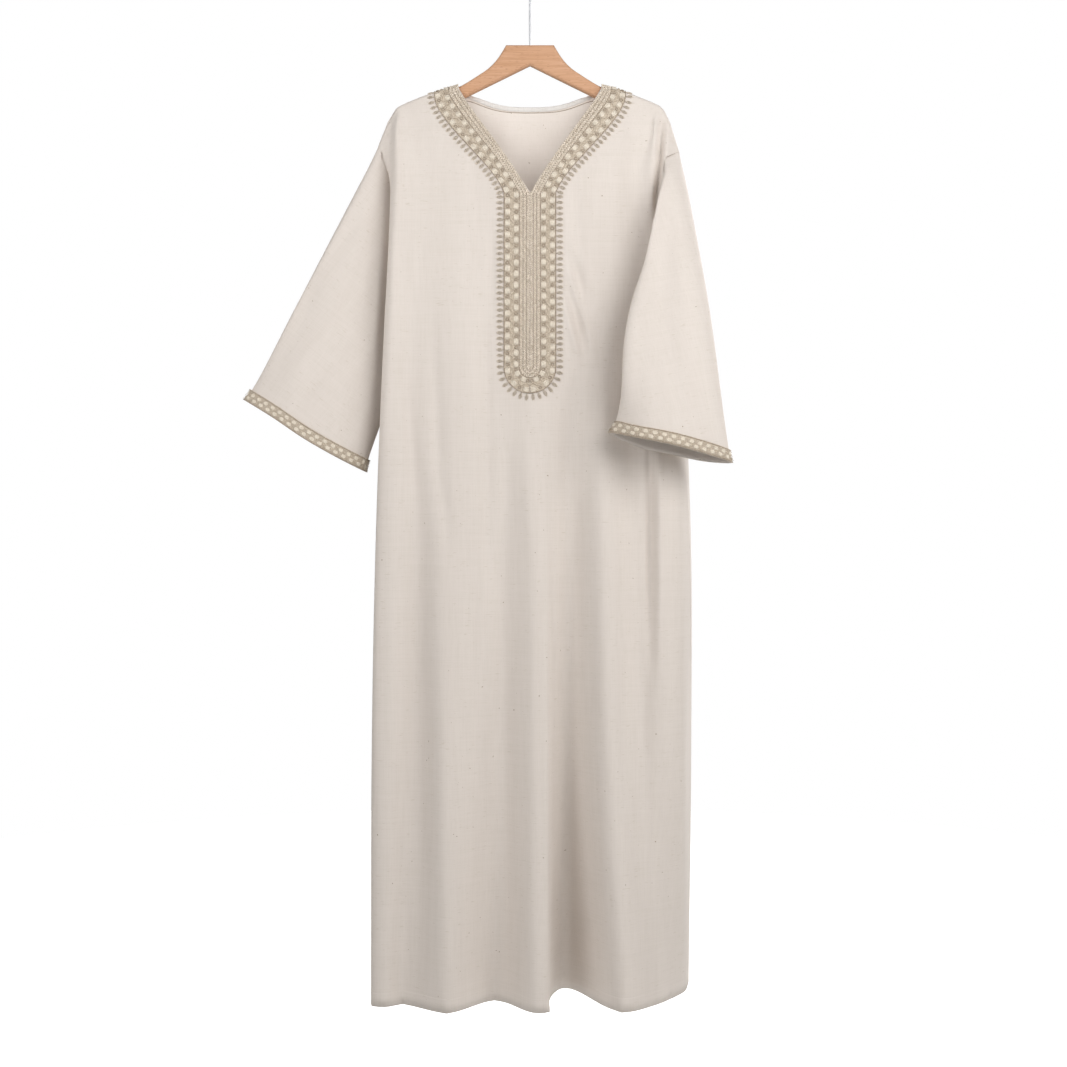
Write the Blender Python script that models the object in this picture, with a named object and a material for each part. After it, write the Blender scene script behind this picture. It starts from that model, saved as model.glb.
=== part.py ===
"""A long V-necked thobe with wide sleeves, hanging on a wooden hanger.

Run it with: blender --background --python part.py

+Z is up, the garment's front faces -Y, and the wearer's right side is at -X.
The origin is where a rail carries the hook, under the top of its bend. The
tables are in millimetres: x across, drop below the point where the neckline
meets the shoulder seam, and depth, which is y (negative is towards the front).

The cloth is lofted from lines that run down the garment along its folds. Each
row of a panel is one smooth curve through those lines.
"""
import math

import bmesh
import bpy
from mathutils import Vector

MM = 0.001

# Garment
CLOTH = 1.2
SEAM_GAP = 0.4
# How far the inner skin draws back at a sewn edge, as a share of the cloth.
MITRE = 1.0
NECK_Z = -185.0
NECK_HALF = 110.5
# The radius of the cloth's roll over the shoulder, and how much of it the
# trim's outer edge takes.
ROLL = 9.4
TRIM_ROLL = 0.9
# How far the back neckline's corners lean in below their edge.
NAPE_LEAN = 0.3
NAPE_LEAN_POWER = 5
TRIM_HALF = 51.0
TRIM_LENGTH = 486.0
# Rows in the placket's round end. The last one stops short of its tip.
TRIM_END_STEPS = 4
TRIM_END_BLUNT = 0.6
# Columns that the braid covers, right and left of the centre.
BRAID_COLUMNS = (1, 3)
TRIM_THICKNESS = 1.3
CORD_RELIEF = 0.7
LAY_GAP = 0.35
CUFF_TRIM_WIDTH = 19.0
BINDING_WIDTH = 7.0
BINDING_WALL = 1.0
BINDING_GAP = 0.35
BINDING_LEAN = 0.7

# Hanger
WOOD_HALF_THICKNESS = 5.5
WOOD_ROUNDING = 4.6
WOOD_TOP = -63.0
WIRE_RADIUS = 1.7
HOOK_RADIUS = 20.0
SHANK_TOP = 50.0
SOCKET_DEPTH = 18.0
HOOK_OPEN = 205.0
HOOK_CLOSE = -38.0
HOOK_STEPS = 16
HOOK_PULL = 0.9
SHANK_BEND_STEPS = 6

# The drops of the chest, underarm, waist, knee and hem.
LEVELS = (171.0, 375.0, 610.0, 1000.0, 1395.0)
CHEST_SLOPE = 0.6
BACK_HEM_EXTRA = 12.0

# Lines down the front, from the wearer's right side seam to the left one:
# name, then (x, depth) at the chest, underarm, waist, knee and hem.
FRONT_LINES = (
    ("right seam", (-199, 10), (-184, 18), (-201, 16), (-231, 18), (-240, 20)),
    ("right tuck", (-213, -6), (-218, -14), (-229, -14), (-239, -12), (-241, -12)),
    ("right fold", (-208, -24), (-220, -32), (-229, -36), (-237, -36), (-238, -38)),
    ("right ridge", (-189, -33), (-198, -40), (-204, -43), (-207, -43), (-213, -42)),
    ("outer valley", (-158, -32), (-178, -36), (-179, -37), (-181, -33), (-192, -28)),
    ("outer crest", (-121, -34), (-113, -45), (-117, -49), (-121, -57), (-123, -72)),
    ("inner valley", (-51, -36), (-51, -42), (-46, -42), (-50, -32), (-54, -12)),
    ("centre crest", (1, -36), (2, -47), (2, -50), (5, -52), (7, -70)),
    ("lap edge", (26, -37), (27, -46), (28, -46), (30, -47), (30, -64)),
    ("lap return", (38, -37), (40, -45), (36, -44), (34, -36), (28, -18)),
    ("deep valley", (51, -36), (53, -43), (53, -39), (48, -21), (46, 44)),
    ("valley wall", (89, -35), (82, -41), (74, -42), (67, -24), (65, 44)),
    ("left crest", (134, -31), (127, -39), (110, -50), (116, -56), (136, -68)),
    ("left valley", (166, -27), (163, -35), (165, -34), (168, -42), (187, -35)),
    ("left ridge", (184, -31), (184, -37), (193, -46), (193, -46), (214, -6)),
    ("left fold", (192, -30), (193, -37), (217, -43), (230, -30), (240, 30)),
    ("left tuck", (199, -31), (203, -37), (229, -34), (240, -8), (246, 52)),
    ("left seam", (206, -34), (212, -22), (238, -18), (246, 14), (250, 72)),
)
# Lines down the back, from the wearer's right side seam to the left one, in
# the same form. The two seams follow the front's from the underarm down.
BACK_LINES = (
    ("right seam", (-201, 27), (-184, 18), (-201, 16), (-231, 18), (-240, 20)),
    ("right tuck", (-214, 35), (-222, 46), (-233, 46), (-244, 46), (-248, 48)),
    ("right fold", (-192, 36), (-206, 60), (-222, 64), (-230, 70), (-234, 80)),
    ("outer valley", (-152, 29), (-160, 47), (-170, 48), (-172, 52), (-180, 56)),
    ("outer crest", (-110, 29), (-112, 56), (-115, 64), (-118, 78), (-120, 104)),
    ("right nape", (-84, 27), (-88, 52), (-90, 58), (-92, 69), (-94, 90)),
    ("inner valley", (-50, 26), (-54, 46), (-58, 50), (-60, 58), (-62, 72)),
    ("centre crest", (0, 29), (0, 54), (0, 62), (2, 80), (4, 112)),
    ("left valley", (50, 26), (55, 46), (58, 50), (60, 60), (62, 84)),
    ("left nape", (84, 27), (88, 50), (90, 56), (92, 70), (95, 100)),
    ("left crest", (110, 30), (112, 56), (115, 64), (120, 80), (124, 118)),
    ("far valley", (152, 29), (158, 46), (166, 48), (172, 58), (178, 92)),
    ("left fold", (186, 32), (204, 54), (218, 60), (226, 76), (230, 124)),
    ("left tuck", (209, 20), (237, 10), (247, 24), (252, 46), (253, 104)),
    ("left seam", (217, 0), (212, -22), (238, -18), (246, 14), (250, 72)),
)
# The top of each shoulder, from the neck point to the armhole: x, drop.
RIGHT_SHOULDER = ((-110, -2), (-138, 5.2), (-163, 14.5), (-186, 23.7), (-203, 32.5), (-214, 47), (-235, 99))
LEFT_SHOULDER = ((110, -2), (138, 5.2), (163, 14.5), (186, 23.7), (202, 32.5), (211, 48), (229, 102))
# Where the front's lines start on the shoulder: shares of its length.
RIGHT_STARTS = (1.0, 0.85, 0.60, 0.55, 0.48, 0.40, 0.29, 0.0)
LEFT_STARTS = (0.0, 0.10, 0.20, 0.29, 0.36, 0.44, 0.50, 0.55, 0.62, 0.82, 1.0)
# Where the back's lines start: shares of the right shoulder, points of the
# neckline as (x, drop, depth), then shares of the left shoulder.
BACK_STARTS = (
    1.0, 0.85, 0.60, 0.35, 0.0,
    (-106, 4, 9.2), (-52, 25, 12), (0, 29, 13), (52, 25, 12), (106, 4, 9.2),
    0.0, 0.35, 0.60, 0.85, 1.0,
)
# Handles of the neckline's curve and of the trim's outer edge, as (x, drop).
NECK_CURVE = ((109, -2), (91, 35), (30, 118), (1, 171))
TRIM_CURVE = ((157, 13), (155, 70), (62, 128), (51, 171))

# How far each armhole bows out between the shoulder and the chest, as
# (x away from the centre, depth).
RIGHT_ARMHOLE_BULGE = (3, 0)
LEFT_ARMHOLE_BULGE = (-13, -10)
BACK_ARMHOLE_BULGE = (0, 0)

# Samples in each span between two lines, and rows in each stretch.
RIGHT_SPANS = (2, 2, 2, 2, 3, 4, 4)
LEFT_SPANS = (2, 1, 2, 3, 4, 3, 3, 2, 2, 2)
BACK_SPANS = (2, 2, 2, 3, 2, 2, 3, 3, 2, 2, 3, 2, 2, 2)
ROLL_STEPS = 3
YOKE_STEPS = 7
BODY_STEPS = (5, 5, 6, 7)

# Lines down each sleeve, from the shoulder round the front to the underarm and
# back: name, then (x, drop, depth) at the same stations down to the cuff.
RIGHT_SLEEVE_LINES = (
    ("top", (-278, 176, 2), (-355, 324, -2), (-437, 480, -4)),
    ("front top", (-256, 192, -14), (-323, 346, -22), (-390, 508, -30)),
    ("front middle", (-235, 235, -10), (-286, 376, -24), (-341, 541, -36)),
    ("front under", (-216, 306, 6), (-247, 428, -14), (-292, 569, -30)),
    ("underarm", (-194, 398, 18), (-216, 494, 12), (-251, 590, 4)),
    ("back under", (-212, 306, 30), (-246, 428, 32), (-292, 569, 34)),
    ("back middle", (-236, 235, 36), (-288, 376, 40), (-344, 541, 42)),
    ("back top", (-258, 192, 26), (-325, 346, 30), (-392, 508, 30)),
)
LEFT_SLEEVE_LINES = (
    ("top", (238, 146, -12), (250, 225, -34), (272, 370, -66), (298, 580, -80)),
    ("front top", (220, 140, -38), (234, 226, -58), (252, 380, -90), (256, 568, -106)),
    ("front middle", (189, 178, -54), (186, 258, -68), (197, 405, -102), (204, 555, -120)),
    ("front under", (186, 275, -56), (153, 344, -76), (142, 425, -100), (155, 545, -114)),
    ("underarm", (215, 388, -42), (190, 408, -66), (154, 462, -84), (116, 536, -86)),
    ("back under", (234, 345, -24), (224, 385, -50), (194, 462, -66), (162, 556, -66)),
    ("back middle", (232, 228, -12), (240, 314, -38), (234, 424, -60), (208, 566, -64)),
    ("back top", (237, 166, 2), (249, 245, -16), (264, 385, -50), (260, 577, -62)),
)
SLEEVE_STEPS = 12
SMOOTHING = 3

# Steps of the fine line that a shoulder's length is measured along.
FINE_STEPS = 60

# The hanger's outline from the middle of its top round to its tip and back
# along the underside, as (x, drop). The other half is its mirror image.
HANGER_TOP = (
    (36.5, -63), (43, -52), (52, -39), (64, -27), (78, -17.5), (96, -6),
    (112, 2.4), (138, 9.2), (163, 18.2), (185, 27), (197, 33.5),
)
HANGER_TIP = ((202, 39), (203, 45), (199, 50))
HANGER_UNDER = ((168, 43), (130, 28.5), (98, 17.4), (0, -31))


def place(x, drop, depth):
    """A point of the tables, in metres in the part's frame."""
    return Vector((x, depth, NECK_Z - drop)) * MM


def curve_through(points, at):
    """A smooth curve through the points; at counts them from 0."""
    i = min(int(at), len(points) - 2)
    t = at - i
    a, b = points[i], points[i + 1]
    before = points[i - 1] if i else a * 2 - b
    after = points[i + 2] if i + 2 < len(points) else b * 2 - a
    steps = [max((q - p).length, 1e-7) ** 0.5 for p, q in ((before, a), (a, b), (b, after))]
    out_slope = slope(before, a, b, steps[0], steps[1]) * steps[1]
    in_slope = slope(a, b, after, steps[1], steps[2]) * steps[1]
    return hermite(a, b, out_slope, in_slope, t)


def slope(before, here, after, first, second):
    """The slope of a parabola through three points, at the middle one."""
    return ((here - before) * (second / first) + (after - here) * (first / second)) / (first + second)


def hermite(a, b, out_slope, in_slope, t):
    """A cubic from a to b with those slopes at its ends."""
    square, cube = t * t, t * t * t
    return (
        a * (2 * cube - 3 * square + 1)
        + out_slope * (cube - 2 * square + t)
        + b * (3 * square - 2 * cube)
        + in_slope * (cube - square)
    )


def bezier(handles, t):
    """A point (x, drop) of a cubic curve with four handles."""
    weights = ((1 - t) ** 3, 3 * t * (1 - t) ** 2, 3 * t * t * (1 - t), t ** 3)
    return tuple(sum(w * h[k] for w, h in zip(weights, handles)) for k in (0, 1))


def ease(t):
    """From 0 to 1, level at both ends."""
    return t * t * (3 - 2 * t)


def along(points, share):
    """The point (x, drop) at that share of a smooth curve's length."""
    knots = [Vector((x, drop)) for x, drop in points]
    fine = [curve_through(knots, (len(knots) - 1) * i / FINE_STEPS) for i in range(FINE_STEPS + 1)]
    lengths = [0.0]
    for a, b in zip(fine, fine[1:]):
        lengths.append(lengths[-1] + (b - a).length)
    wanted = share * lengths[-1]
    for i, (low, high) in enumerate(zip(lengths, lengths[1:])):
        if wanted <= high:
            t = (wanted - low) / max(high - low, 1e-9)
            return fine[i].lerp(fine[i + 1], t), (fine[i + 1] - fine[i]).normalized()
    return fine[-1], (fine[-1] - fine[-2]).normalized()


def over_shoulder(shoulder, share, angle, front):
    """A point of the cloth that rolls over the shoulder line, as a vector of
    (x, drop, depth). The angle is 0 on the seam and a quarter turn below it."""
    point, direction = along(shoulder, share)
    side = math.copysign(1, point.x)
    inward = Vector((-direction.y * side, abs(direction.x)))
    point = point + inward * ROLL * (1 - math.cos(angle))
    depth = ROLL * math.sin(angle) * (-1 if front else 1)
    return Vector((point.x, point.y, depth))


def at_drop(line, drop):
    """A line's (x, drop, depth) at a drop between the chest and the hem."""
    i = max(k for k in range(len(LEVELS) - 1) if drop >= LEVELS[k] - 1e-6)
    points = [Vector((x, depth)) for x, depth in line[1:]]
    gaps = [b - a for a, b in zip(LEVELS, LEVELS[1:])]
    slopes = [(b - a) / gap for a, b, gap in zip(points, points[1:], gaps)]
    level_slopes = [slopes[0] * CHEST_SLOPE]
    for k in range(1, len(points) - 1):
        level_slopes.append((slopes[k - 1] * gaps[k] + slopes[k] * gaps[k - 1]) / (gaps[k - 1] + gaps[k]))
    level_slopes.append(slopes[-1])
    t = (drop - LEVELS[i]) / gaps[i]
    x, depth = hermite(points[i], points[i + 1], level_slopes[i] * gaps[i], level_slopes[i + 1] * gaps[i], t)
    if i == 0 and line[0].endswith("seam"):
        depth = points[1].y + (points[0].y - points[1].y) * math.sqrt(1 - t * t)
    return Vector((x, drop, depth))


def yoke_row(starts, ends, inner, outer, share):
    """The points of one row between the shoulder and the chest. starts and
    ends are the row's lines at the top and the chest; inner and outer are the
    row's first and last points, given by the neckline's and armhole's curves."""
    last = len(starts) - 1
    inner_miss = inner - blend(starts[0], ends[0], share)
    outer_miss = outer - blend(starts[last], ends[last], share)
    return [
        blend(start, end, share) + inner_miss.lerp(outer_miss, ease(i / last))
        for i, (start, end) in enumerate(zip(starts, ends))
    ]


def blend(start, end, share):
    """Between two points, straight in the panel's plane and eased in depth."""
    mixed = start.lerp(end, share)
    mixed.z = start.z + (end.z - start.z) * math.sin(share * math.pi / 2)
    return mixed


def armhole(start, end, share, bulge):
    """The armhole seam from the shoulder down to the chest. The bulge is how
    far it bows out from the straight, in x away from the centre and in depth."""
    point = start.lerp(end, share)
    point.z = start.z + (end.z - start.z) * ease(share)
    bow = math.sin(math.pi * math.sqrt(share))
    return point + Vector((math.copysign(1, point.x) * bulge[0] * bow, 0, bulge[1] * bow))


def neckline(side, share):
    """The front neckline from the roll's foot to the bottom of the V."""
    x, drop = bezier(NECK_CURVE, share)
    foot = ROLL * (1 - share) ** 2
    depth = -ROLL + (FRONT_LINES[7][1][1] + ROLL) * math.sin(share * math.pi / 2)
    return Vector((side * x, drop + foot, depth))


def trim_edge(side, share):
    """The outer edge of the neck trim, in the same stretch."""
    x, drop = bezier(TRIM_CURVE, share)
    foot = ROLL * TRIM_ROLL * (1 - share) ** 2
    depth = -ROLL + (FRONT_LINES[6][1][1] + ROLL) * math.sin(share * math.pi / 2)
    return Vector((side * x, drop + foot, depth))


def half_rows(side):
    """The rows of line points of half the front above the chest, from the
    shoulder seam down. side is -1 for the wearer's right and 1 for the left."""
    shoulder = RIGHT_SHOULDER if side < 0 else LEFT_SHOULDER
    shares = RIGHT_STARTS if side < 0 else LEFT_STARTS
    lines = FRONT_LINES[:8] if side < 0 else FRONT_LINES[7:]
    ends = [at_drop(line, LEVELS[0]) for line in lines]
    rows = []
    for k in range(ROLL_STEPS + 1):
        angle = math.pi / 2 * k / ROLL_STEPS
        rows.append([over_shoulder(shoulder, share, angle, True) for share in shares])
    starts = rows[-1]
    for k in range(1, YOKE_STEPS):
        share = k / YOKE_STEPS
        seam_at = 0 if side < 0 else len(lines) - 1
        neck_at = len(lines) - 1 - seam_at
        bulge = RIGHT_ARMHOLE_BULGE if side < 0 else LEFT_ARMHOLE_BULGE
        seam = armhole(starts[seam_at], ends[seam_at], share, bulge)
        neck = neckline(side, share)
        edge = trim_edge(side, share)
        if side < 0:
            outer = yoke_row(starts[:7], ends[:7], seam, edge, share)
            rows.append(outer + [neck])
        else:
            inner = [neck.lerp(edge, i / 3) for i in range(3)]
            rows.append(inner + yoke_row(starts[3:], ends[3:], edge, seam, share))
    return rows


def body_drops():
    """The drops of the rows from the chest to the hem. They close up towards
    the underarm, where the armhole turns."""
    top, under = LEVELS[:2]
    steps = BODY_STEPS[0]
    drops = [top + (under - top) * math.sin(math.pi / 2 * k / steps) for k in range(steps + 1)]
    for low, high, steps in zip(LEVELS[1:], LEVELS[2:], BODY_STEPS[1:]):
        drops += [low + (high - low) * k / steps for k in range(1, steps + 1)]
    return drops


def sampled(points, spans):
    """Points along the smooth curve through a row's lines."""
    out = []
    for i, count in enumerate(spans):
        out += [curve_through(points, i + k / count) for k in range(count)]
    return out + [points[-1].copy()]


def pulled_back(grid, first_column, last_column, first_row):
    """The grid with its sewn edges half the seam gap short of the seam."""
    half = SEAM_GAP / 2
    for row in grid:
        if first_column:
            row[0] = row[0] + (row[1] - row[0]).normalized() * half
        if last_column:
            row[-1] = row[-1] + (row[-2] - row[-1]).normalized() * half
    if first_row:
        for k, point in enumerate(grid[0]):
            grid[0][k] = point + (grid[1][k] - point).normalized() * half
    return grid


def front_halves():
    """The front's two grids of (x, drop, depth), right then left. They share
    their points on the centre line from the bottom of the V down."""
    body = [[at_drop(line, drop) for line in FRONT_LINES] for drop in body_drops()]
    right = [sampled(row, RIGHT_SPANS) for row in half_rows(-1)]
    left = [sampled(row, LEFT_SPANS) for row in half_rows(1)]
    columns = sum(RIGHT_SPANS)
    for row in body:
        whole = sampled(row, RIGHT_SPANS + LEFT_SPANS)
        right.append(whole[:columns + 1])
        left.append([point.copy() for point in whole[columns:]])
    return right, left


def back_rows():
    """The rows of line points of the back, from the shoulder seams down."""
    ends = [at_drop(line, LEVELS[0]) for line in BACK_LINES]
    middle = len(BACK_STARTS) // 2
    rows = []
    for k in range(ROLL_STEPS + 1):
        angle = math.pi / 2 * k / ROLL_STEPS
        row = []
        for i, start in enumerate(BACK_STARTS):
            if isinstance(start, tuple):
                x, drop, depth = start
                fall = ROLL * (1 - math.cos(angle))
                lean = NAPE_LEAN * fall * (x / NECK_HALF) ** NAPE_LEAN_POWER
                row.append(Vector((x - lean, drop + fall, depth)))
            else:
                shoulder = RIGHT_SHOULDER if i < middle else LEFT_SHOULDER
                row.append(over_shoulder(shoulder, start, angle, False))
        rows.append(row)
    starts = rows[-1]
    for k in range(1, YOKE_STEPS):
        share = k / YOKE_STEPS
        first = armhole(starts[0], ends[0], share, BACK_ARMHOLE_BULGE)
        last = armhole(starts[-1], ends[-1], share, BACK_ARMHOLE_BULGE)
        rows.append(yoke_row(starts, ends, first, last, share))
    for drop in body_drops():
        row = [at_drop(line, drop) for line in BACK_LINES]
        if drop >= LEVELS[1]:
            row[0], row[-1] = at_drop(FRONT_LINES[0], drop), at_drop(FRONT_LINES[-1], drop)
        extra = BACK_HEM_EXTRA * ease(max(0.0, (drop - LEVELS[3]) / (LEVELS[4] - LEVELS[3])))
        for i, point in enumerate(row):
            point.y += extra * math.sin(math.pi * i / (len(row) - 1)) ** 0.5
        rows.append(row)
    return rows


def back_grid():
    """The back's points, with its shoulders rolled as the front's are."""
    grid = [sampled(row, BACK_SPANS) for row in back_rows()]
    ends = sum(BACK_SPANS[:4])
    for k in range(ROLL_STEPS + 1):
        depth = ROLL * math.sin(math.pi / 2 * k / ROLL_STEPS)
        for point in grid[k][:ends + 1] + grid[k][-ends - 1:]:
            point.z = depth
    return grid


def armhole_ring(right, rear):
    """The armhole seam, from the shoulder down the front to the underarm and
    up the back, from the two panels' outer columns."""
    column = 0 if right else -1
    front = front_halves()[0 if right else 1]
    under = ROLL_STEPS + YOKE_STEPS + BODY_STEPS[0]
    down = [front[k][column] for k in range(under + 1)]
    up = [rear[k][column] for k in range(under - 1, 0, -1)]
    return down + up


def ring_through(points, count_down, count_up):
    """A closed smooth curve through a ring of line points, with count_down
    samples from the top to the underarm and count_up back to the top."""
    n = len(points)
    wrapped = points[-2:] + points + points[:3]
    half = n // 2
    places = [half * k / count_down for k in range(count_down)]
    places += [half + (n - half) * k / count_up for k in range(count_up)]
    return [curve_through(wrapped, 2 + at) for at in places]


def sleeve_stations(lines, ring):
    """The sleeve's rings at its stations: the armhole seam, then smooth rings
    through the sleeve's lines."""
    under = len(ring) // 2
    stations = [ring]
    for k in range(1, len(lines[0])):
        points = [Vector(line[k]) for line in lines]
        stations.append(ring_through(points, under, len(ring) - under))
    return stations


def sleeve_grid(stations, shares):
    """Rings of the sleeve at those shares of its length."""
    grid = []
    for share in shares:
        at = share * (len(stations) - 1)
        ring = []
        for k in range(len(stations[0])):
            ring.append(curve_through([station[k] for station in stations], at))
        grid.append(ring)
    return grid


def smoothed(grid):
    """The sleeve's rings with their sharp turns rounded. The armhole's ring and
    the cuff's stay where they are."""
    for _ in range(SMOOTHING):
        before = grid
        grid = [before[0]]
        for above, ring, below in zip(before, before[1:], before[2:]):
            count = len(ring)
            grid.append([
                ring[k] / 2 + (ring[k - 1] + ring[(k + 1) % count] + above[k] + below[k]) / 8
                for k in range(count)
            ])
        grid.append(before[-1])
    return grid


def to_part(grid):
    """A grid of table points, in metres in the part's frame."""
    return [[place(*point) for point in row] for row in grid]


def grid_normals(grid, closed):
    """The surface's outward direction at each point of a grid: the mean of the
    faces round it. Down the rows crossed with along a row points outwards."""
    normals = []
    last = len(grid) - 1
    for r, row in enumerate(grid):
        line = []
        for c, point in enumerate(row):
            down = grid[r + 1][c] if r < last else None
            up = grid[r - 1][c] if r else None
            if r == 0 and not closed:
                up = across_seam(point, down)
            ahead = row[(c + 1) % len(row)] if closed or c + 1 < len(row) else None
            behind = row[c - 1] if closed or c else None
            line.append(corner_mean(point, (down, ahead, up, behind)))
        normals.append(line)
    return normals


def corner_mean(point, around):
    """The mean direction of the corners between a point's neighbours."""
    total = Vector()
    for a, b in zip(around, around[1:] + around[:1]):
        if a is not None and b is not None:
            total += (a - point).cross(b - point).normalized()
    return total.normalized()


def across_seam(top, under):
    """The point past the panel's top edge: on a shoulder seam it mirrors the
    point below, so that the two panels' walls meet square."""
    if sewn_shoulder(top):
        return Vector((under.x, -under.y, under.z))
    return None


def material(name, colour, roughness, metallic=0.0):
    made = bpy.data.materials.new(name)
    made.use_nodes = True
    shader = made.node_tree.nodes["Principled BSDF"]
    shader.inputs["Base Color"].default_value = (*colour, 1.0)
    shader.inputs["Roughness"].default_value = roughness
    shader.inputs["Metallic"].default_value = metallic
    return made


def object_from(name, bm, finish):
    """The bmesh as one named object. Its faces bend, so each is split along
    the diagonal that follows the bend."""
    bmesh.ops.triangulate(bm, faces=bm.faces)
    mesh = bpy.data.meshes.new(name)
    bm.to_mesh(mesh)
    bm.free()
    mesh.materials.append(finish)
    made = bpy.data.objects.new(name, mesh)
    bpy.context.scene.collection.objects.link(made)
    mesh.shade_smooth()
    mesh.set_sharp_from_angle(angle=math.radians(50))
    return made


def wall(bm, outer, inner, closed):
    """Adds a cloth wall between two grids: its two faces and its rims."""
    rows, columns = len(outer), len(outer[0])
    skins = []
    for grid in (outer, inner):
        skins.append([[bm.verts.new(point) for point in row] for row in grid])
    spans = columns if closed else columns - 1
    for r in range(rows - 1):
        for c in range(spans):
            d = (c + 1) % columns
            for skin, turned in zip(skins, (False, True)):
                corners = [skin[r][c], skin[r + 1][c], skin[r + 1][d], skin[r][d]]
                bm.faces.new(corners[::-1] if turned else corners)
    out, back = skins
    for r in (0, rows - 1):
        for c in range(spans):
            d = (c + 1) % columns
            corners = [out[r][c], out[r][d], back[r][d], back[r][c]]
            bm.faces.new(corners if r == 0 else corners[::-1])
    if not closed:
        for c in (0, columns - 1):
            for r in range(rows - 1):
                corners = [out[r][c], out[r + 1][c], back[r + 1][c], back[r][c]]
                bm.faces.new(corners[::-1] if c == 0 else corners)


def mitred(inner, outer, first_column, last_column, first_row):
    """Draws the inner skin back from the sewn edges, so that two walls that
    meet at a fold have room."""
    for row, guide in zip(inner, outer):
        if first_column:
            row[0] = row[0] + mitre(guide[0], guide[1])
        if last_column:
            row[-1] = row[-1] + mitre(guide[-1], guide[-2])
    if first_row:
        for k, (top, under) in enumerate(zip(outer[0], outer[1])):
            if sewn_shoulder(top) or not (first_column or last_column):
                inner[0][k] = inner[0][k] + mitre(top, under)
    return inner


def sewn_shoulder(point):
    """Whether a point of a panel's top edge lies on the shoulder seam."""
    return abs(point.y) < SEAM_GAP * MM


def mitre(edge, beside):
    """How far the inner skin's edge draws back."""
    step = beside - edge
    return step.normalized() * min(CLOTH * MITRE * MM, step.length / 3)


def inside(grid, normals, distance):
    """The grid moved in by a distance in millimetres, or out if negative."""
    return [
        [point - normal * distance * MM for point, normal in zip(row, line)]
        for row, line in zip(grid, normals)
    ]


def cloth_panel(name, grid, finish, closed=False):
    """A panel of cloth, or a sleeve if closed, from one grid."""
    bm = bmesh.new()
    points = to_part(grid)
    inner = inside(points, grid_normals(points, closed), CLOTH)
    wall(bm, points, mitred(inner, points, not closed, not closed, True), closed)
    return object_from(name, bm, finish)


def front_panel(finish):
    """The front: both halves in one piece below the V."""
    right, left = front_halves()
    pulled_back(right, True, False, True)
    pulled_back(left, False, True, True)
    joined = [a + b[1:] for a, b in zip(right, left)]
    points = to_part(joined)
    normals = grid_normals(points, False)
    middle = len(right[0]) - 1
    split = ROLL_STEPS + YOKE_STEPS
    bm = bmesh.new()
    right_points, left_points = to_part(right), to_part(left)
    right_normals = grid_normals(right_points, False)
    left_normals = grid_normals(left_points, False)
    for r in range(split, len(points)):
        right_normals[r][-1] = normals[r][middle]
        left_normals[r][0] = normals[r][middle]
    right_inner = mitred(inside(right_points, right_normals, CLOTH), right_points, True, False, True)
    left_inner = mitred(inside(left_points, left_normals, CLOTH), left_points, False, True, True)
    front_skins(bm, right_points, right_inner, split, False)
    front_skins(bm, left_points, left_inner, split, True)
    bmesh.ops.remove_doubles(bm, verts=bm.verts, dist=1e-7)
    return object_from("front_panel", bm, finish)


def front_skins(bm, outer, inner, split, inner_edge_first):
    """Half the front's wall. Its centre edge has a rim above the V only."""
    rows, columns = len(outer), len(outer[0])
    skins = [[[bm.verts.new(p) for p in row] for row in grid] for grid in (outer, inner)]
    out, back = skins
    for r in range(rows - 1):
        for c in range(columns - 1):
            for skin, turned in ((out, False), (back, True)):
                corners = [skin[r][c], skin[r + 1][c], skin[r + 1][c + 1], skin[r][c + 1]]
                bm.faces.new(corners[::-1] if turned else corners)
    for c in range(columns - 1):
        for r in (0, rows - 1):
            corners = [out[r][c], out[r][c + 1], back[r][c + 1], back[r][c]]
            bm.faces.new(corners if r == 0 else corners[::-1])
    centre = 0 if inner_edge_first else columns - 1
    for c in (0, columns - 1):
        last = split if c == centre else rows - 1
        for r in range(last):
            corners = [out[r][c], out[r + 1][c], back[r + 1][c], back[r][c]]
            bm.faces.new(corners[::-1] if c == 0 else corners)


def back_panel(finish):
    grid = [row[::-1] for row in back_grid()]
    pulled_back(grid, True, True, True)
    return cloth_panel("back_panel", grid, finish)


def sleeve_parts(right):
    """The sleeve's station rings, from the armhole's down to the cuff."""
    lines = RIGHT_SLEEVE_LINES if right else LEFT_SLEEVE_LINES
    ring = armhole_ring(right, back_grid())
    if not right:
        ring = ring[:1] + ring[:0:-1]
        lines = lines[:1] + lines[:0:-1]
    return sleeve_stations(lines, ring)


def sleeve_rings(right):
    """The sleeve's rings. The last but one is the upper edge of its trim."""
    shares = [k / SLEEVE_STEPS for k in range(SLEEVE_STEPS + 1)]
    grid = smoothed(sleeve_grid(sleeve_parts(right), shares))
    trim_edge_ring = [
        edge + (up - edge).normalized() * CUFF_TRIM_WIDTH for up, edge in zip(grid[-2], grid[-1])
    ]
    return grid[:-1] + [trim_edge_ring, grid[-1]]


def sleeve(name, right, finish):
    grid = sleeve_rings(right)
    seam = grid[0]
    count = len(seam)
    grid[0] = [
        point + square_to(grid[1][k] - point, seam[(k + 1) % count] - seam[k - 1]) * SEAM_GAP / 2
        for k, point in enumerate(seam)
    ]
    return cloth_panel(name, grid, finish, closed=True)


def square_to(step, seam):
    """The step's direction, turned square to the seam's."""
    seam = seam.normalized()
    return (step - seam * step.dot(seam)).normalized()


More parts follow.
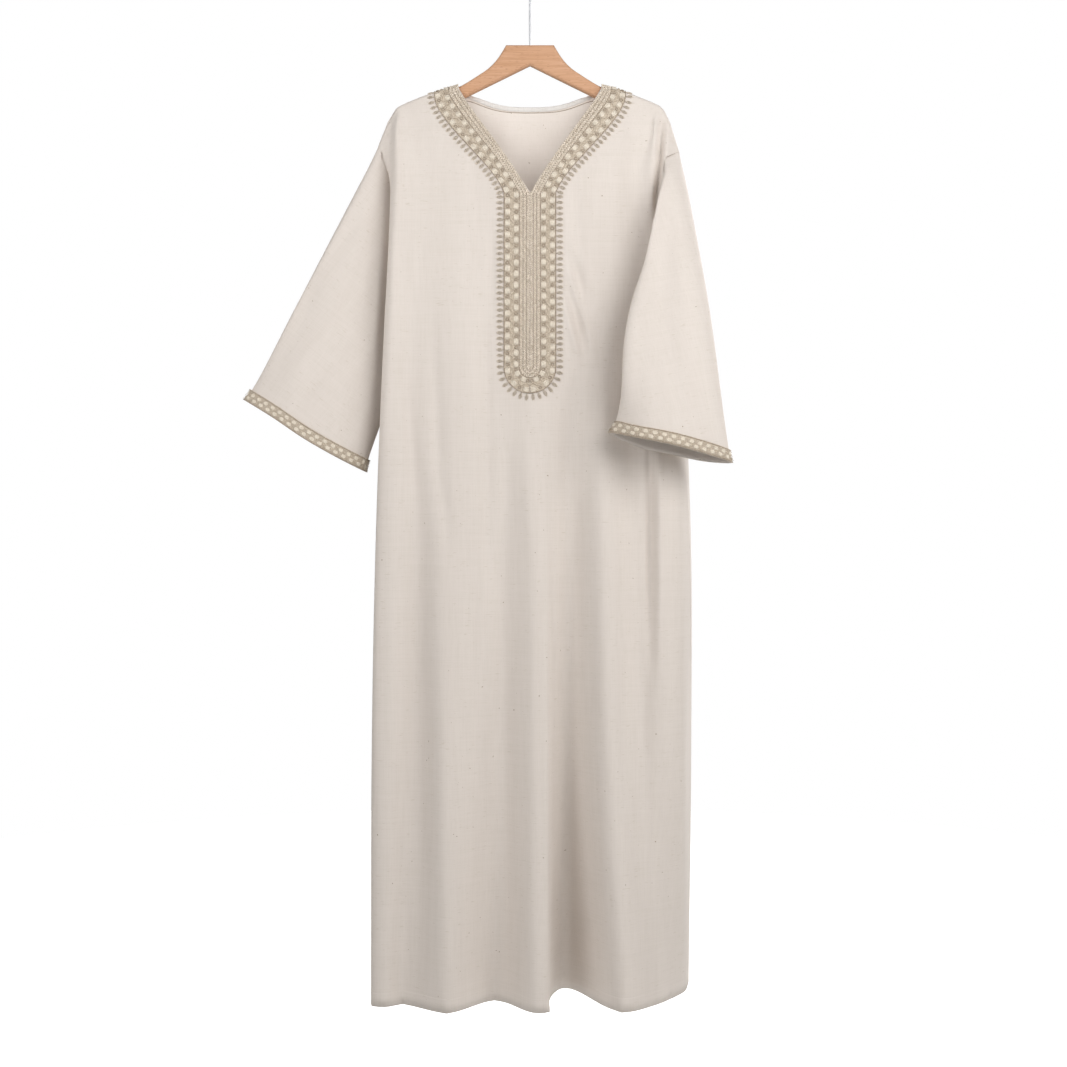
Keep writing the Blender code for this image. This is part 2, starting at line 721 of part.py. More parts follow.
def cuff_trim(name, right, finish):
    """The embroidered band round the cuff, made from the sleeve's points and
    moved out."""
    points = to_part(sleeve_rings(right)[-2:])
    normals = grid_normals(points, True)
    bm = bmesh.new()
    outer = inside(points, normals, -(LAY_GAP + TRIM_THICKNESS))
    wall(bm, outer, inside(points, normals, -LAY_GAP), True)
    return object_from(name, bm, finish)


def trim_rows(right, left, drops):
    """The front's points under the neck trim, as a right and a left grid. The
    V's arms and the straight of the placket are the front's own points. Its
    round end takes points on the front's facets."""
    neck_rows = ROLL_STEPS + YOKE_STEPS
    straight_end = TRIM_LENGTH - TRIM_HALF
    straight = [r for r, drop in enumerate(drops) if drop < straight_end]
    rows = range(1, neck_rows + 1 + straight[-1])
    right_columns = sum(RIGHT_SPANS[:6])
    left_columns = sum(LEFT_SPANS[:3]) + 1
    right_grid = [right[r][right_columns:] for r in rows]
    left_grid = [left[r][:left_columns] for r in rows]
    last_right, last_left = right_grid[-1], left_grid[-1]
    for k in range(TRIM_END_STEPS + 1):
        angle = math.pi / 2 * k / (TRIM_END_STEPS + TRIM_END_BLUNT)
        drop = straight_end + TRIM_HALF * math.sin(angle)
        shrink = math.cos(angle)
        right_grid.append([on_front(right, left, drops, p.x * shrink, drop) for p in last_right])
        left_grid.append([on_front(right, left, drops, p.x * shrink, drop) for p in last_left])
    return right_grid, left_grid


def on_front(right, left, drops, x, drop):
    """The point of the front's facets below the V at that x and drop."""
    first = ROLL_STEPS + YOKE_STEPS
    r = max(k for k in range(len(drops) - 1) if drops[k] <= drop)
    t = (drop - drops[r]) / (drops[r + 1] - drops[r])
    above = right[first + r] + left[first + r][1:]
    below = right[first + r + 1] + left[first + r + 1][1:]
    row = [a.lerp(b, t) for a, b in zip(above, below)]
    for a, b in zip(row, row[1:]):
        if a.x <= x <= b.x:
            return a.lerp(b, (x - a.x) / (b.x - a.x))
    return row[0]


def neck_trim(finish):
    """The embroidered band down both sides of the V and the placket below. It
    lies on the front, and its braid stands up from it."""
    right, left = front_halves()
    drops = body_drops()
    right_grid, left_grid = trim_rows(right, left, drops)
    split = ROLL_STEPS + YOKE_STEPS - 1
    joined = to_part([a + b[1:] for a, b in zip(right_grid, left_grid)])
    middle = len(right_grid[0]) - 1
    shared = grid_normals(joined, False)
    bm = bmesh.new()
    for grid, centre, inner_first in ((right_grid, middle, False), (left_grid, 0, True)):
        points = to_part(grid)
        normals = grid_normals(points, False)
        for r in range(split, len(points)):
            normals[r][centre] = shared[r][middle]
        under = inside(points, normals, -LAY_GAP)
        over = inside(points, normals, -(LAY_GAP + TRIM_THICKNESS))
        raised = inside(points, normals, -(LAY_GAP + TRIM_THICKNESS + CORD_RELIEF))
        for r, row in enumerate(raised):
            for c in range(len(row)):
                if abs(c - centre) <= BRAID_COLUMNS[inner_first]:
                    over[r][c] = row[c]
        front_skins(bm, over, under, split, inner_first)
    bmesh.ops.remove_doubles(bm, verts=bm.verts, dist=1e-7)
    return object_from("neck_trim", bm, finish)


def back_neck_binding(finish):
    """The bound edge of the back neckline, folded over the panel's edge."""
    first = sum(BACK_SPANS[:5]) + 1
    last = sum(BACK_SPANS[:9]) - 1
    grid = to_part([row[::-1] for row in back_grid()])
    normals = grid_normals(grid, False)
    count = len(grid[0])
    outside = BINDING_GAP + BINDING_WALL
    rings, insides = [[], [], [], []], [[], [], [], []]
    for column in range(first, last + 1):
        c = count - 1 - column
        edge, low = down_column([row[c] for row in grid], BINDING_WIDTH * MM)
        up = (edge - low).normalized()
        edge = edge + (low - edge).normalized() * SEAM_GAP / 2 * MM
        over = normals[0][c].lerp(normals[2][c], BINDING_LEAN).normalized()
        for rows, gap in ((rings, outside), (insides, BINDING_GAP)):
            rows[0].append(low + over * gap * MM)
            rows[1].append(edge + (over * gap + up * gap) * MM)
            rows[2].append(edge + (up * gap - over * (CLOTH + gap)) * MM)
            rows[3].append(low - over * (CLOTH + gap) * MM)
    bm = bmesh.new()
    wall(bm, rings, insides, False)
    return object_from("back_neck_binding", bm, finish)


def down_column(points, length):
    """A column's first point, and the point that length along it."""
    left_over = length
    for a, b in zip(points, points[1:]):
        step = (b - a).length
        if step >= left_over:
            return points[0], a.lerp(b, left_over / step)
        left_over -= step
    return points[0], points[-1]


def hanger_body(finish):
    """The wooden hanger: its outline cut from board, rounded, and bored for
    the hook."""
    half = list(HANGER_TOP) + list(HANGER_TIP) + list(HANGER_UNDER)
    knots = [Vector((x, drop)) for x, drop in half[:-1]]
    fine = [curve_through(knots, i / 2) for i in range(2 * len(knots) - 1)]
    fine = [Vector(HANGER_TOP[0])] + fine[1:] + [Vector(HANGER_UNDER[-1])]
    outline = fine + [Vector((-p.x, p.y)) for p in reversed(fine[:-1])]
    bm = bmesh.new()
    low = WOOD_HALF_THICKNESS
    verts = [bm.verts.new(place(p.x, p.y, -low)) for p in outline]
    face = bm.faces.new(verts)
    made = bmesh.ops.extrude_face_region(bm, geom=[face])
    moved = [v for v in made["geom"] if isinstance(v, bmesh.types.BMVert)]
    bmesh.ops.translate(bm, verts=moved, vec=(0, 2 * low * MM, 0))
    bmesh.ops.recalc_face_normals(bm, faces=bm.faces)
    rims = [e for e in bm.edges if abs(e.verts[0].co.y - e.verts[1].co.y) < 1e-6]
    bmesh.ops.bevel(
        bm, geom=rims, offset=WOOD_ROUNDING * MM, affect="EDGES", segments=2, profile=0.5, material=-1,
        clamp_overlap=True,
    )
    wood = object_from("hanger_body", bm, finish)
    bore = socket_cutter(finish)
    cut = wood.modifiers.new("socket", "BOOLEAN")
    cut.operation = "DIFFERENCE"
    cut.object = bore
    return wood


def socket_cutter(finish):
    """The blind hole that the hook's shank sits in."""
    bm = bmesh.new()
    depth = SOCKET_DEPTH * MM
    bmesh.ops.create_cone(
        bm, cap_ends=True, segments=16, radius1=(WIRE_RADIUS + SEAM_GAP) * MM,
        radius2=(WIRE_RADIUS + SEAM_GAP) * MM, depth=2 * depth,
    )
    cutter = object_from("socket_cutter", bm, finish)
    cutter.location = place(0, WOOD_TOP, 0)
    cutter.hide_render = True
    cutter.display_type = "WIRE"
    return cutter


def hook_path():
    """The hook's centre line: round the bend, back to the middle, and down."""
    centre = Vector((0, 0, WIRE_RADIUS - HOOK_RADIUS))
    points = []
    for k in range(HOOK_STEPS + 1):
        angle = math.radians(HOOK_OPEN + (HOOK_CLOSE - HOOK_OPEN) * k / HOOK_STEPS)
        points.append(centre + Vector((math.cos(angle), 0, math.sin(angle))) * HOOK_RADIUS)
    turn = math.radians(HOOK_CLOSE)
    pull = HOOK_RADIUS * HOOK_PULL
    leave = points[-1] + Vector((math.sin(turn), 0, -math.cos(turn))) * pull
    foot = Vector((0, 0, -SHANK_TOP))
    handles = [(p.x, p.z) for p in (points[-1], leave, foot + Vector((0, 0, pull)), foot)]
    for k in range(1, SHANK_BEND_STEPS + 1):
        x, z = bezier(handles, k / SHANK_BEND_STEPS)
        points.append(Vector((x, 0, z)))
    points.append(Vector((0, 0, NECK_Z - WOOD_TOP - SOCKET_DEPTH + SEAM_GAP)))
    return points


def hanger_hook(finish):
    curve = bpy.data.curves.new("hanger_hook", "CURVE")
    curve.dimensions = "3D"
    curve.bevel_depth = WIRE_RADIUS * MM
    curve.bevel_resolution = 3
    curve.use_fill_caps = True
    points = hook_path()
    spline = curve.splines.new("POLY")
    spline.points.add(len(points) - 1)
    for point, place_in_mm in zip(spline.points, points):
        point.co = (*(place_in_mm * MM), 1.0)
    curve.materials.append(finish)
    made = bpy.data.objects.new("hanger_hook", curve)
    bpy.context.scene.collection.objects.link(made)
    return made


def all_materials():
    return {
        "cloth": material("oatmeal cloth", (0.70, 0.62, 0.54), 0.9),
        "trim": material("sand embroidery", (0.52, 0.43, 0.33), 0.8),
        "binding": material("neck binding", (0.76, 0.71, 0.66), 0.85),
        "wood": material("beech", (0.60, 0.33, 0.18), 0.45),
        "steel": material("hook steel", (0.72, 0.72, 0.72), 0.3, 1.0),
    }


def main():
    for existing in list(bpy.data.objects):
        bpy.data.objects.remove(existing)
    finishes = all_materials()
    front_panel(finishes["cloth"])
    back_panel(finishes["cloth"])
    sleeve("sleeve_right", True, finishes["cloth"])
    sleeve("sleeve_left", False, finishes["cloth"])
    cuff_trim("cuff_trim_right", True, finishes["trim"])
    cuff_trim("cuff_trim_left", False, finishes["trim"])
    neck_trim(finishes["trim"])
    back_neck_binding(finishes["binding"])
    hanger_body(finishes["wood"])
    hanger_hook(finishes["steel"])


main()
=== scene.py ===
# %% [markdown]
# # A long embroidered thobe on its hanger
#
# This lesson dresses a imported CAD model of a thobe, which is a long loose robe with a V neck and
# wide three-quarter sleeves. The solids already have the cut and the large folds. Here each of them
# gets what a hand and an eye would find on the real garment: cloth that bends smoothly, small
# creases, linen-like threads, couched embroidery, a bound neckline, a turned hem, beech and wire.
#
# Everything is in metres. +Z is up, the front faces -Y, and the wearer's left is at +X. The origin
# is where a wardrobe rail carries the hook.

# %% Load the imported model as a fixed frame
import math

import bmesh
import bpy
import numpy as np
from mathutils import Matrix, Vector
from mathutils.bvhtree import BVHTree


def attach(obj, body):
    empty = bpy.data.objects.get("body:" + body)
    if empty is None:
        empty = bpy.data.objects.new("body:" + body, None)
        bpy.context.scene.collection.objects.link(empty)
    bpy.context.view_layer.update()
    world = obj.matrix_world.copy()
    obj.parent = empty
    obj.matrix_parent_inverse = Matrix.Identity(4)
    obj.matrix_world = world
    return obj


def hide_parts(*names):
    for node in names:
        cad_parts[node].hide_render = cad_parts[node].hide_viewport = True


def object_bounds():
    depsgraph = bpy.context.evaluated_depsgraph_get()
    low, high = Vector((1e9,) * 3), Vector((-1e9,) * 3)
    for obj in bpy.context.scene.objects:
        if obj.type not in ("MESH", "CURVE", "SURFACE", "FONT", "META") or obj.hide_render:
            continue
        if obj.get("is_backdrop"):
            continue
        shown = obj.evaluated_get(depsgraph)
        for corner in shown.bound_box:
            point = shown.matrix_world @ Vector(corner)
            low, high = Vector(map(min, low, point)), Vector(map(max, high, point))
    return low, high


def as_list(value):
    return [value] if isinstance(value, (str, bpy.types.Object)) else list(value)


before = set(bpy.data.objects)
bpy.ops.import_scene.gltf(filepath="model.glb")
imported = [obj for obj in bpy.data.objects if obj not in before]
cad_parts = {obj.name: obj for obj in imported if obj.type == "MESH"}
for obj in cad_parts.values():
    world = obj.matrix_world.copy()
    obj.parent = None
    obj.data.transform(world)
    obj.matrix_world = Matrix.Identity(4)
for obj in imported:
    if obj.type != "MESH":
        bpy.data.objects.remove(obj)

MM = 0.001
BODY = "root"
cad_box = [list(corner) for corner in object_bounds()]
print("solids:", len(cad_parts), "box:", [[round(v, 3) for v in corner] for corner in cad_box])

# %% [markdown]
# ## The camera
#
# The robe was photographed square on, from the height of its waist, about two metres away. A lens of
# 48.5 mm on a 36 mm sensor frames it as the picture does. The view transform is the plain one, so
# that the render's colours can be compared with the picture's.

# %% Place the camera
CAMERA_PLACE = (0.0054, -2.2, -0.869)
LENS = 48.5
SENSOR = 36.0


def in_scene(name, data):
    """A new object in the scene, at the origin."""
    made = bpy.data.objects.new(name, data)
    bpy.context.scene.collection.objects.link(made)
    return made


camera_data = bpy.data.cameras.new("camera")
camera_data.lens = LENS
camera_data.sensor_width = SENSOR
camera = in_scene("camera", camera_data)
camera.location = CAMERA_PLACE
camera.rotation_euler = (math.radians(90), 0, 0)
bpy.context.scene.camera = camera
bpy.context.scene.view_settings.view_transform = "Standard"
print("camera", [round(v, 4) for v in camera.location], "lens", LENS)

# %% [markdown]
# ## Colours and nodes
#
# An eye picks a colour in sRGB, while a shader works with linear light, so one function turns the one
# into the other. A material is a network of nodes, and one function that adds a node with its
# settings and links keeps it as short as a recipe.

# %% Turn sRGB hex colours into the linear values that shaders use
BLACK = (0, 0, 0, 1)
WHITE = (1, 1, 1, 1)


def linear(hex_colour):
    """The linear red, green, blue and alpha of an sRGB hex colour."""
    values = []
    for start in (0, 2, 4):
        share = int(hex_colour[start:start + 2], 16) / 255
        values.append(share / 12.92 if share <= 0.04045 else ((share + 0.055) / 1.055) ** 2.4)
    return (*values, 1.0)


print("mid oatmeal is", [round(v, 3) for v in linear("D8CCC0")])


# %% A small function that adds a node with its settings and links
def feed(tree, node, **inputs):
    """Sets a node's inputs, or links those that are sockets of other nodes. An input's name is
    written with _ for each space, or as _ and its number."""
    for name, value in inputs.items():
        socket = node.inputs[int(name[1:])] if name[0] == "_" else node.inputs[name.replace("_", " ")]
        if isinstance(value, bpy.types.NodeSocket):
            tree.links.new(value, socket)
        else:
            socket.default_value = value


def add(tree, kind, settings=(), stops=(), out=0, **inputs):
    """Adds a node, whose type is ShaderNode and its kind, and gives one of its outputs, if it has
    any. settings are its properties, and stops a colour ramp's places and colours in rising order."""
    made = tree.nodes.new("ShaderNode" + kind)
    for name, value in dict(settings).items():
        setattr(made, name, value)
    for k, (where, colour) in enumerate(stops):
        bands = made.color_ramp.elements
        band = bands[k] if k < len(bands) else bands.new(where)
        band.position = where
        band.color = colour
    feed(tree, made, **inputs)
    return made.outputs[out] if made.outputs else None


def new_material(name):
    """A new material, its tree of nodes and its shader."""
    made = bpy.data.materials.new(name)
    made.use_nodes = True
    return made, made.node_tree, made.node_tree.nodes["Principled BSDF"]


print("node helpers ready")

# %% [markdown]
# ## The light and the floor
#
# The picture's light is soft, and both flanks of a fold are lit, one a little less. Two large lamps
# on the right and one on the left do that, and one behind shows the back. A bright world would wash
# the folds out, so the world looks white to the camera, for a plain backdrop, but lights the cloth
# only weakly. The floor is a pale disk that shines for the camera alone, as white as the backdrop.

# %% Light it softly from both sides, with the key on the right
# Each lamp's name, power in watts, and angles to the right and upwards from the front, in degrees.
LAMPS = (
    ("key", 24.8, 38, 25),
    ("right side", 12.5, 62, 12),
    ("left side", 25.5, -45, 24),
    ("back", 36.0, 142, 22),
)
LAMP_SIZE = 1.4
LAMP_DISTANCE = 2.1
AMBIENT = 0.13
GARMENT_MIDDLE = Vector((0, 0, -0.72))

world = bpy.data.worlds.new("studio")
bpy.context.scene.world = world
world.use_nodes = True
sky = world.node_tree
sky.nodes.clear()
rays = add(sky, "LightPath", out="Is Camera Ray")
soft = add(sky, "Background", Color=WHITE, Strength=AMBIENT)
paper = add(sky, "Background", Color=WHITE, Strength=1.0)
seen = add(sky, "MixShader", Fac=rays, _1=soft, _2=paper)
add(sky, "OutputWorld", Surface=seen)

for name, watts, turn, rise in LAMPS:
    lamp = bpy.data.lights.new(name, "AREA")
    lamp.energy = watts
    lamp.shape = "DISK"
    lamp.size = LAMP_SIZE
    way = Vector((0, -LAMP_DISTANCE, 0))
    way.rotate(Matrix.Rotation(math.radians(-rise), 3, "X"))
    way.rotate(Matrix.Rotation(math.radians(turn), 3, "Z"))
    stand = in_scene(name, lamp)
    stand.location = GARMENT_MIDDLE + way
    stand.rotation_euler = (-way).to_track_quat("-Z", "Y").to_euler()
    stand.visible_camera = False
    print(name, watts, "W at", [round(v, 2) for v in stand.location])

# %% Lay a pale floor below the hem
FLOOR_Z = -1.9
FLOOR_RADIUS = 3.2
FLOOR_SIDES = 64


def as_mesh(bm):
    """The bmesh as a mesh. The bmesh is freed."""
    mesh = bpy.data.meshes.new("mesh")
    bm.to_mesh(mesh)
    bm.free()
    return mesh


floor_paint, tree, shader = new_material("pale studio floor")
feed(
    tree, shader, Base_Color=linear("F6F5F3"), Roughness=0.9, Specular_IOR_Level=0.1,
    Emission_Color=WHITE, Emission_Strength=add(tree, "LightPath", out="Is Camera Ray"),
)
bm = bmesh.new()
bmesh.ops.create_circle(bm, cap_ends=True, segments=FLOOR_SIDES, radius=FLOOR_RADIUS)
bmesh.ops.translate(bm, verts=bm.verts, vec=(0, 0, FLOOR_Z))
floor = in_scene("floor", as_mesh(bm))
floor.data.materials.append(floor_paint)
floor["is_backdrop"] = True
print("floor at", FLOOR_Z)

# %% [markdown]
# ## Linen-like cloth
#
# The robe is a plain weave in oatmeal yarn, as linen or a linen look in viscose and polyester. Close
# up it is a grid of uneven threads, with thick places called slubs and a few specks of seed, and it
# is matt, with a little sheen from its loose fibres. Noise that is fine across and long along makes
# one set of threads, and two such noises make the weave. The real threads are about 0.5 mm apart,
# finer than a pixel of the picture, so they are drawn about three times as coarse. The robe hangs, so
# the warp runs along Z. On a sleeve the grain runs along the sleeve, and a Mapping node turns it.
#
# Where an attribute of the mesh marks the inside of the cloth, the material shines weakly: painted
# light, which stands in for the light that comes through the thin cloth.

# %% The sizes and colours of the weave
THREAD_MM = 1.7
THREAD_LENGTH_MM = 60.0
SLUB_LENGTH_MM = 9.0
SLUB_MM = 1.4
SPECK_MM = 3.2
DYE_MM = 26.0
DYE_LENGTH_MM = 420.0
# The yarn's tones from dark to light. Noise seldom leaves the middle, so their stops lie close.
CLOTH_TONES = ("D4CBC2", "D7CEC6", "D9D0C8")
TONE_STOPS = (0.36, 0.50, 0.64)
DYE_STOPS = ((0.35, (0.975, 0.972, 0.970, 1)), (0.65, WHITE))
SLUB_STOPS = ((0.74, BLACK), (0.84, WHITE))
SLUB_TONE = "CDC3B8"
SPECK_STOPS = ((0.872, BLACK), (0.892, WHITE))
SPECK_TONE = "9C8B77"
# Painted light on the inside of the cloth: its colour is scaled by this tone, and it glows weakly.
PAINTED_INSIDE_TONE = (0.95, 0.95, 0.95, 1.0)
PAINTED_INSIDE_GLOW = 0.22
HEM_FOLD_Z = -1.560
CLOTH_BUMP = 0.5 * MM
FIBRE_ROUGHNESS = 0.55
MIX = {"data_type": "RGBA"}
MULTIPLY = {"data_type": "RGBA", "blend_type": "MULTIPLY"}


def per_metre(size_mm):
    """The noise scale whose features are that many millimetres apart."""
    return 1000.0 / size_mm


def fibres(tree, coordinates, sizes_mm, detail):
    """Noise whose features have those sizes along X, Y and Z, in millimetres."""
    scale = [per_metre(size) for size in sizes_mm]
    mapped = add(tree, "Mapping", Vector=coordinates, Scale=scale)
    return add(tree, "TexNoise", Vector=mapped, Scale=1.0, Detail=detail, Roughness=FIBRE_ROUGHNESS)


print("threads", THREAD_MM, "mm apart make a noise scale of", round(per_metre(THREAD_MM)))


# %% The cloth's material
def woven_cloth(name, grain_turn, hem_fold, tones=CLOTH_TONES):
    """Plain weave. grain_turn is how far the warp leans from upright, in degrees about Y, and
    hem_fold says whether the hem's turn-up shows as a doubled edge."""
    made, tree, shader = new_material(name)
    place = add(tree, "TexCoord", out="Object")
    turn = (0, math.radians(grain_turn), 0)
    grain = add(tree, "Mapping", Vector=place, Rotation=turn)
    warp = fibres(tree, grain, (THREAD_MM, THREAD_MM, THREAD_LENGTH_MM), 3.0)
    weft = fibres(tree, grain, (THREAD_LENGTH_MM, THREAD_LENGTH_MM, THREAD_MM), 3.0)
    threads = add(tree, "Math", {"operation": "ADD"}, _0=warp, _1=weft)
    tone = add(tree, "Math", {"operation": "MULTIPLY"}, _0=threads, _1=0.5)
    stops = zip(TONE_STOPS, [linear(colour) for colour in tones])
    woven = add(tree, "ValToRGB", stops=stops, Fac=tone)
    dye = fibres(tree, grain, (DYE_MM, DYE_MM, DYE_LENGTH_MM), 2.0)
    clouds = add(tree, "ValToRGB", stops=DYE_STOPS, Fac=dye)
    cloudy = add(tree, "Mix", MULTIPLY, out=2, Factor=1.0, _6=woven, _7=clouds)
    slub_noise = fibres(tree, grain, (SLUB_LENGTH_MM, SLUB_LENGTH_MM, SLUB_MM), 0.0)
    slubs = add(tree, "ValToRGB", stops=SLUB_STOPS, Fac=slub_noise)
    slubbed = add(tree, "Mix", MIX, out=2, Factor=slubs, _6=cloudy, _7=linear(SLUB_TONE))
    speck_noise = add(tree, "TexNoise", Vector=grain, Scale=per_metre(SPECK_MM), Detail=0.0)
    specks = add(tree, "ValToRGB", stops=SPECK_STOPS, Fac=speck_noise)
    speckled = add(tree, "Mix", MIX, out=2, Factor=specks, _6=slubbed, _7=linear(SPECK_TONE))
    # Painted light: the marked inside is scaled in colour and glows weakly in the cloth's mid tone.
    inside = add(tree, "Attribute", {"attribute_name": "inside"}, out="Fac")
    painted_inside_colour = add(tree, "Mix", MULTIPLY, out=2, Factor=inside, _6=speckled, _7=PAINTED_INSIDE_TONE)
    painted_glow = add(tree, "Math", {"operation": "MULTIPLY"}, _0=inside, _1=PAINTED_INSIDE_GLOW)
    height = add(tree, "Math", {"operation": "ADD"}, _0=tone, _1=slubs)
    surface = add(tree, "Bump", Strength=0.35, Distance=CLOTH_BUMP, Height=height)
    if hem_fold:
        fold = add(
            tree, "MapRange", {"interpolation_type": "SMOOTHSTEP"},
            Value=add(tree, "SeparateXYZ", out="Z", Vector=place),
            From_Min=HEM_FOLD_Z - MM, From_Max=HEM_FOLD_Z + MM, To_Min=1.0, To_Max=0.0,
        )
        surface = add(tree, "Bump", Strength=0.5, Distance=CLOTH_BUMP, Height=fold, Normal=surface)
    feed(
        tree, shader, Base_Color=painted_inside_colour, Emission_Color=linear(tones[1]), Emission_Strength=painted_glow,
        Normal=surface, Roughness=0.86, Specular_IOR_Level=0.25, Sheen_Weight=0.12, Sheen_Roughness=0.5,
    )
    return made


RIGHT_SLEEVE_LEAN = -38.0
LEFT_SLEEVE_LEAN = 12.0
body_cloth = woven_cloth("oatmeal slub cloth", 0.0, True)
right_sleeve_cloth = woven_cloth("oatmeal slub cloth on the right sleeve", RIGHT_SLEEVE_LEAN, False)
left_sleeve_cloth = woven_cloth("oatmeal slub cloth on the left sleeve", LEFT_SLEEVE_LEAN, False)
print("cloth materials:", body_cloth.name, right_sleeve_cloth.name, left_sleeve_cloth.name)

# %% [markdown]
# ## From faceted walls to smooth cloth
#
# A panel of the solid is one closed wall, 1.2 mm thick, made of loose triangles. Its copy is merged
# and its triangles are joined back into quads, so that a Subdivision Surface can round it. The two
# rims of the wall are creased, or the surface would pull back from its edges. Where a panel is sewn to
# its neighbour at the shoulder or the armhole, the rim keeps its corners too, so that both sides of
# the seam stay together. The hem and the neckline may round.

# %% Copy a node's solid as clean quads
MERGE = 2e-5
JOIN_ANGLE = math.radians(60)
JOIN_SHAPE = math.radians(80)


def merged_copy(node, quads=True):
    """A bmesh of the node's solid, merged, with its triangles joined into quads if asked."""
    bm = bmesh.new()
    bm.from_mesh(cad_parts[node].data)
    bmesh.ops.remove_doubles(bm, verts=bm.verts, dist=MERGE)
    if quads:
        bmesh.ops.join_triangles(
            bm, faces=bm.faces, angle_face_threshold=JOIN_ANGLE, angle_shape_threshold=JOIN_SHAPE,
            topology_influence=1.0,
        )
    return bm


print("a merged front panel has", len(merged_copy("front_panel").faces), "faces")

# %% Find and crease the rims
ARMHOLE_FOOT_Z = -0.565
NECKLINE_HALF = 0.104
RIM_WIDTH = 2.2 * MM
# Two edges of a rim make a corner where the cosine between them is above this, so where they turn
# by more than about 45 degrees.
CORNER_COSINE = -0.7


def sewn(point):
    """Whether a rim's point lies on an armhole or a shoulder, where two pieces are sewn."""
    return point.z > ARMHOLE_FOOT_Z and abs(point.x) > NECKLINE_HALF


def rim_faces(bm):
    """The narrow faces that close a wall along its edges."""
    rims = []
    for face in bm.faces:
        lengths = [edge.calc_length() for edge in face.edges]
        if min(lengths) < RIM_WIDTH < max(lengths):
            rims.append(face)
    return rims


def crease_rims(bm):
    """Creases the wall's rims. Sewn rims and corners of a rim stay sharp across it too."""
    crease = bm.edges.layers.float.new("crease_edge")
    for face in rim_faces(bm):
        for edge in face.edges:
            if edge.calc_length() >= RIM_WIDTH or all(sewn(vert.co) for vert in edge.verts):
                edge[crease] = 1.0
    for vert in bm.verts:
        long_edges = [e for e in vert.link_edges if e[crease] and e.calc_length() >= RIM_WIDTH]
        if len(long_edges) != 2:
            continue
        a, b = [(e.other_vert(vert).co - vert.co).normalized() for e in long_edges]
        if a.dot(b) > CORNER_COSINE:
            for edge in vert.link_edges:
                if edge.calc_length() < RIM_WIDTH:
                    edge[crease] = 1.0


print("the back panel has", len(rim_faces(merged_copy("back_panel"))), "rim faces")

# %% Subdivide a wall, and make a finished piece of a mesh
SHARP_ANGLE = math.radians(60)


def applied(holder):
    """The mesh that an object shows with its modifiers or its bevel. The object is removed."""
    bpy.context.view_layer.update()
    graph = bpy.context.evaluated_depsgraph_get()
    mesh = bpy.data.meshes.new_from_object(holder.evaluated_get(graph))
    bpy.data.objects.remove(holder)
    mesh.shade_smooth()
    return mesh


def subdivided(bm, levels):
    """The bmesh as a mesh, rounded by a Subdivision Surface that is applied."""
    holder = in_scene("holder", as_mesh(bm))
    rounding = holder.modifiers.new("rounding", "SUBSURF")
    rounding.levels = levels
    rounding.render_levels = levels
    smooth = applied(holder)
    smooth.set_sharp_from_angle(angle=SHARP_ANGLE)
    return smooth


def triangles(mesh):
    """How many triangles a mesh makes."""
    return sum(len(face.vertices) - 2 for face in mesh.polygons)


def new_piece(name, mesh, finish):
    """A finished piece: an object at the origin that rides on the part's body."""
    mesh.name = name
    mesh.materials.clear()
    mesh.materials.append(finish)
    made = in_scene(name, mesh)
    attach(made, BODY)
    print(name, triangles(mesh), "triangles")
    return made


print("walls are rounded where they bend less than", round(math.degrees(SHARP_ANGLE)), "degrees")

# %% [markdown]
# ## Creases placed by hand
#
# Cloth that has been folded, worn and hung has small creases between its large folds. A simulation
# would not put them where the picture has them, so they are listed in tables: where each starts and
# ends, how wide it is, and how deep. A ridge has a plus sign and a trough a minus sign, and both fade
# towards their ends. Every point of the wall moves by the same rule, so the cloth keeps its
# thickness. Three shallow ripples keep the places between the creases from being flat.

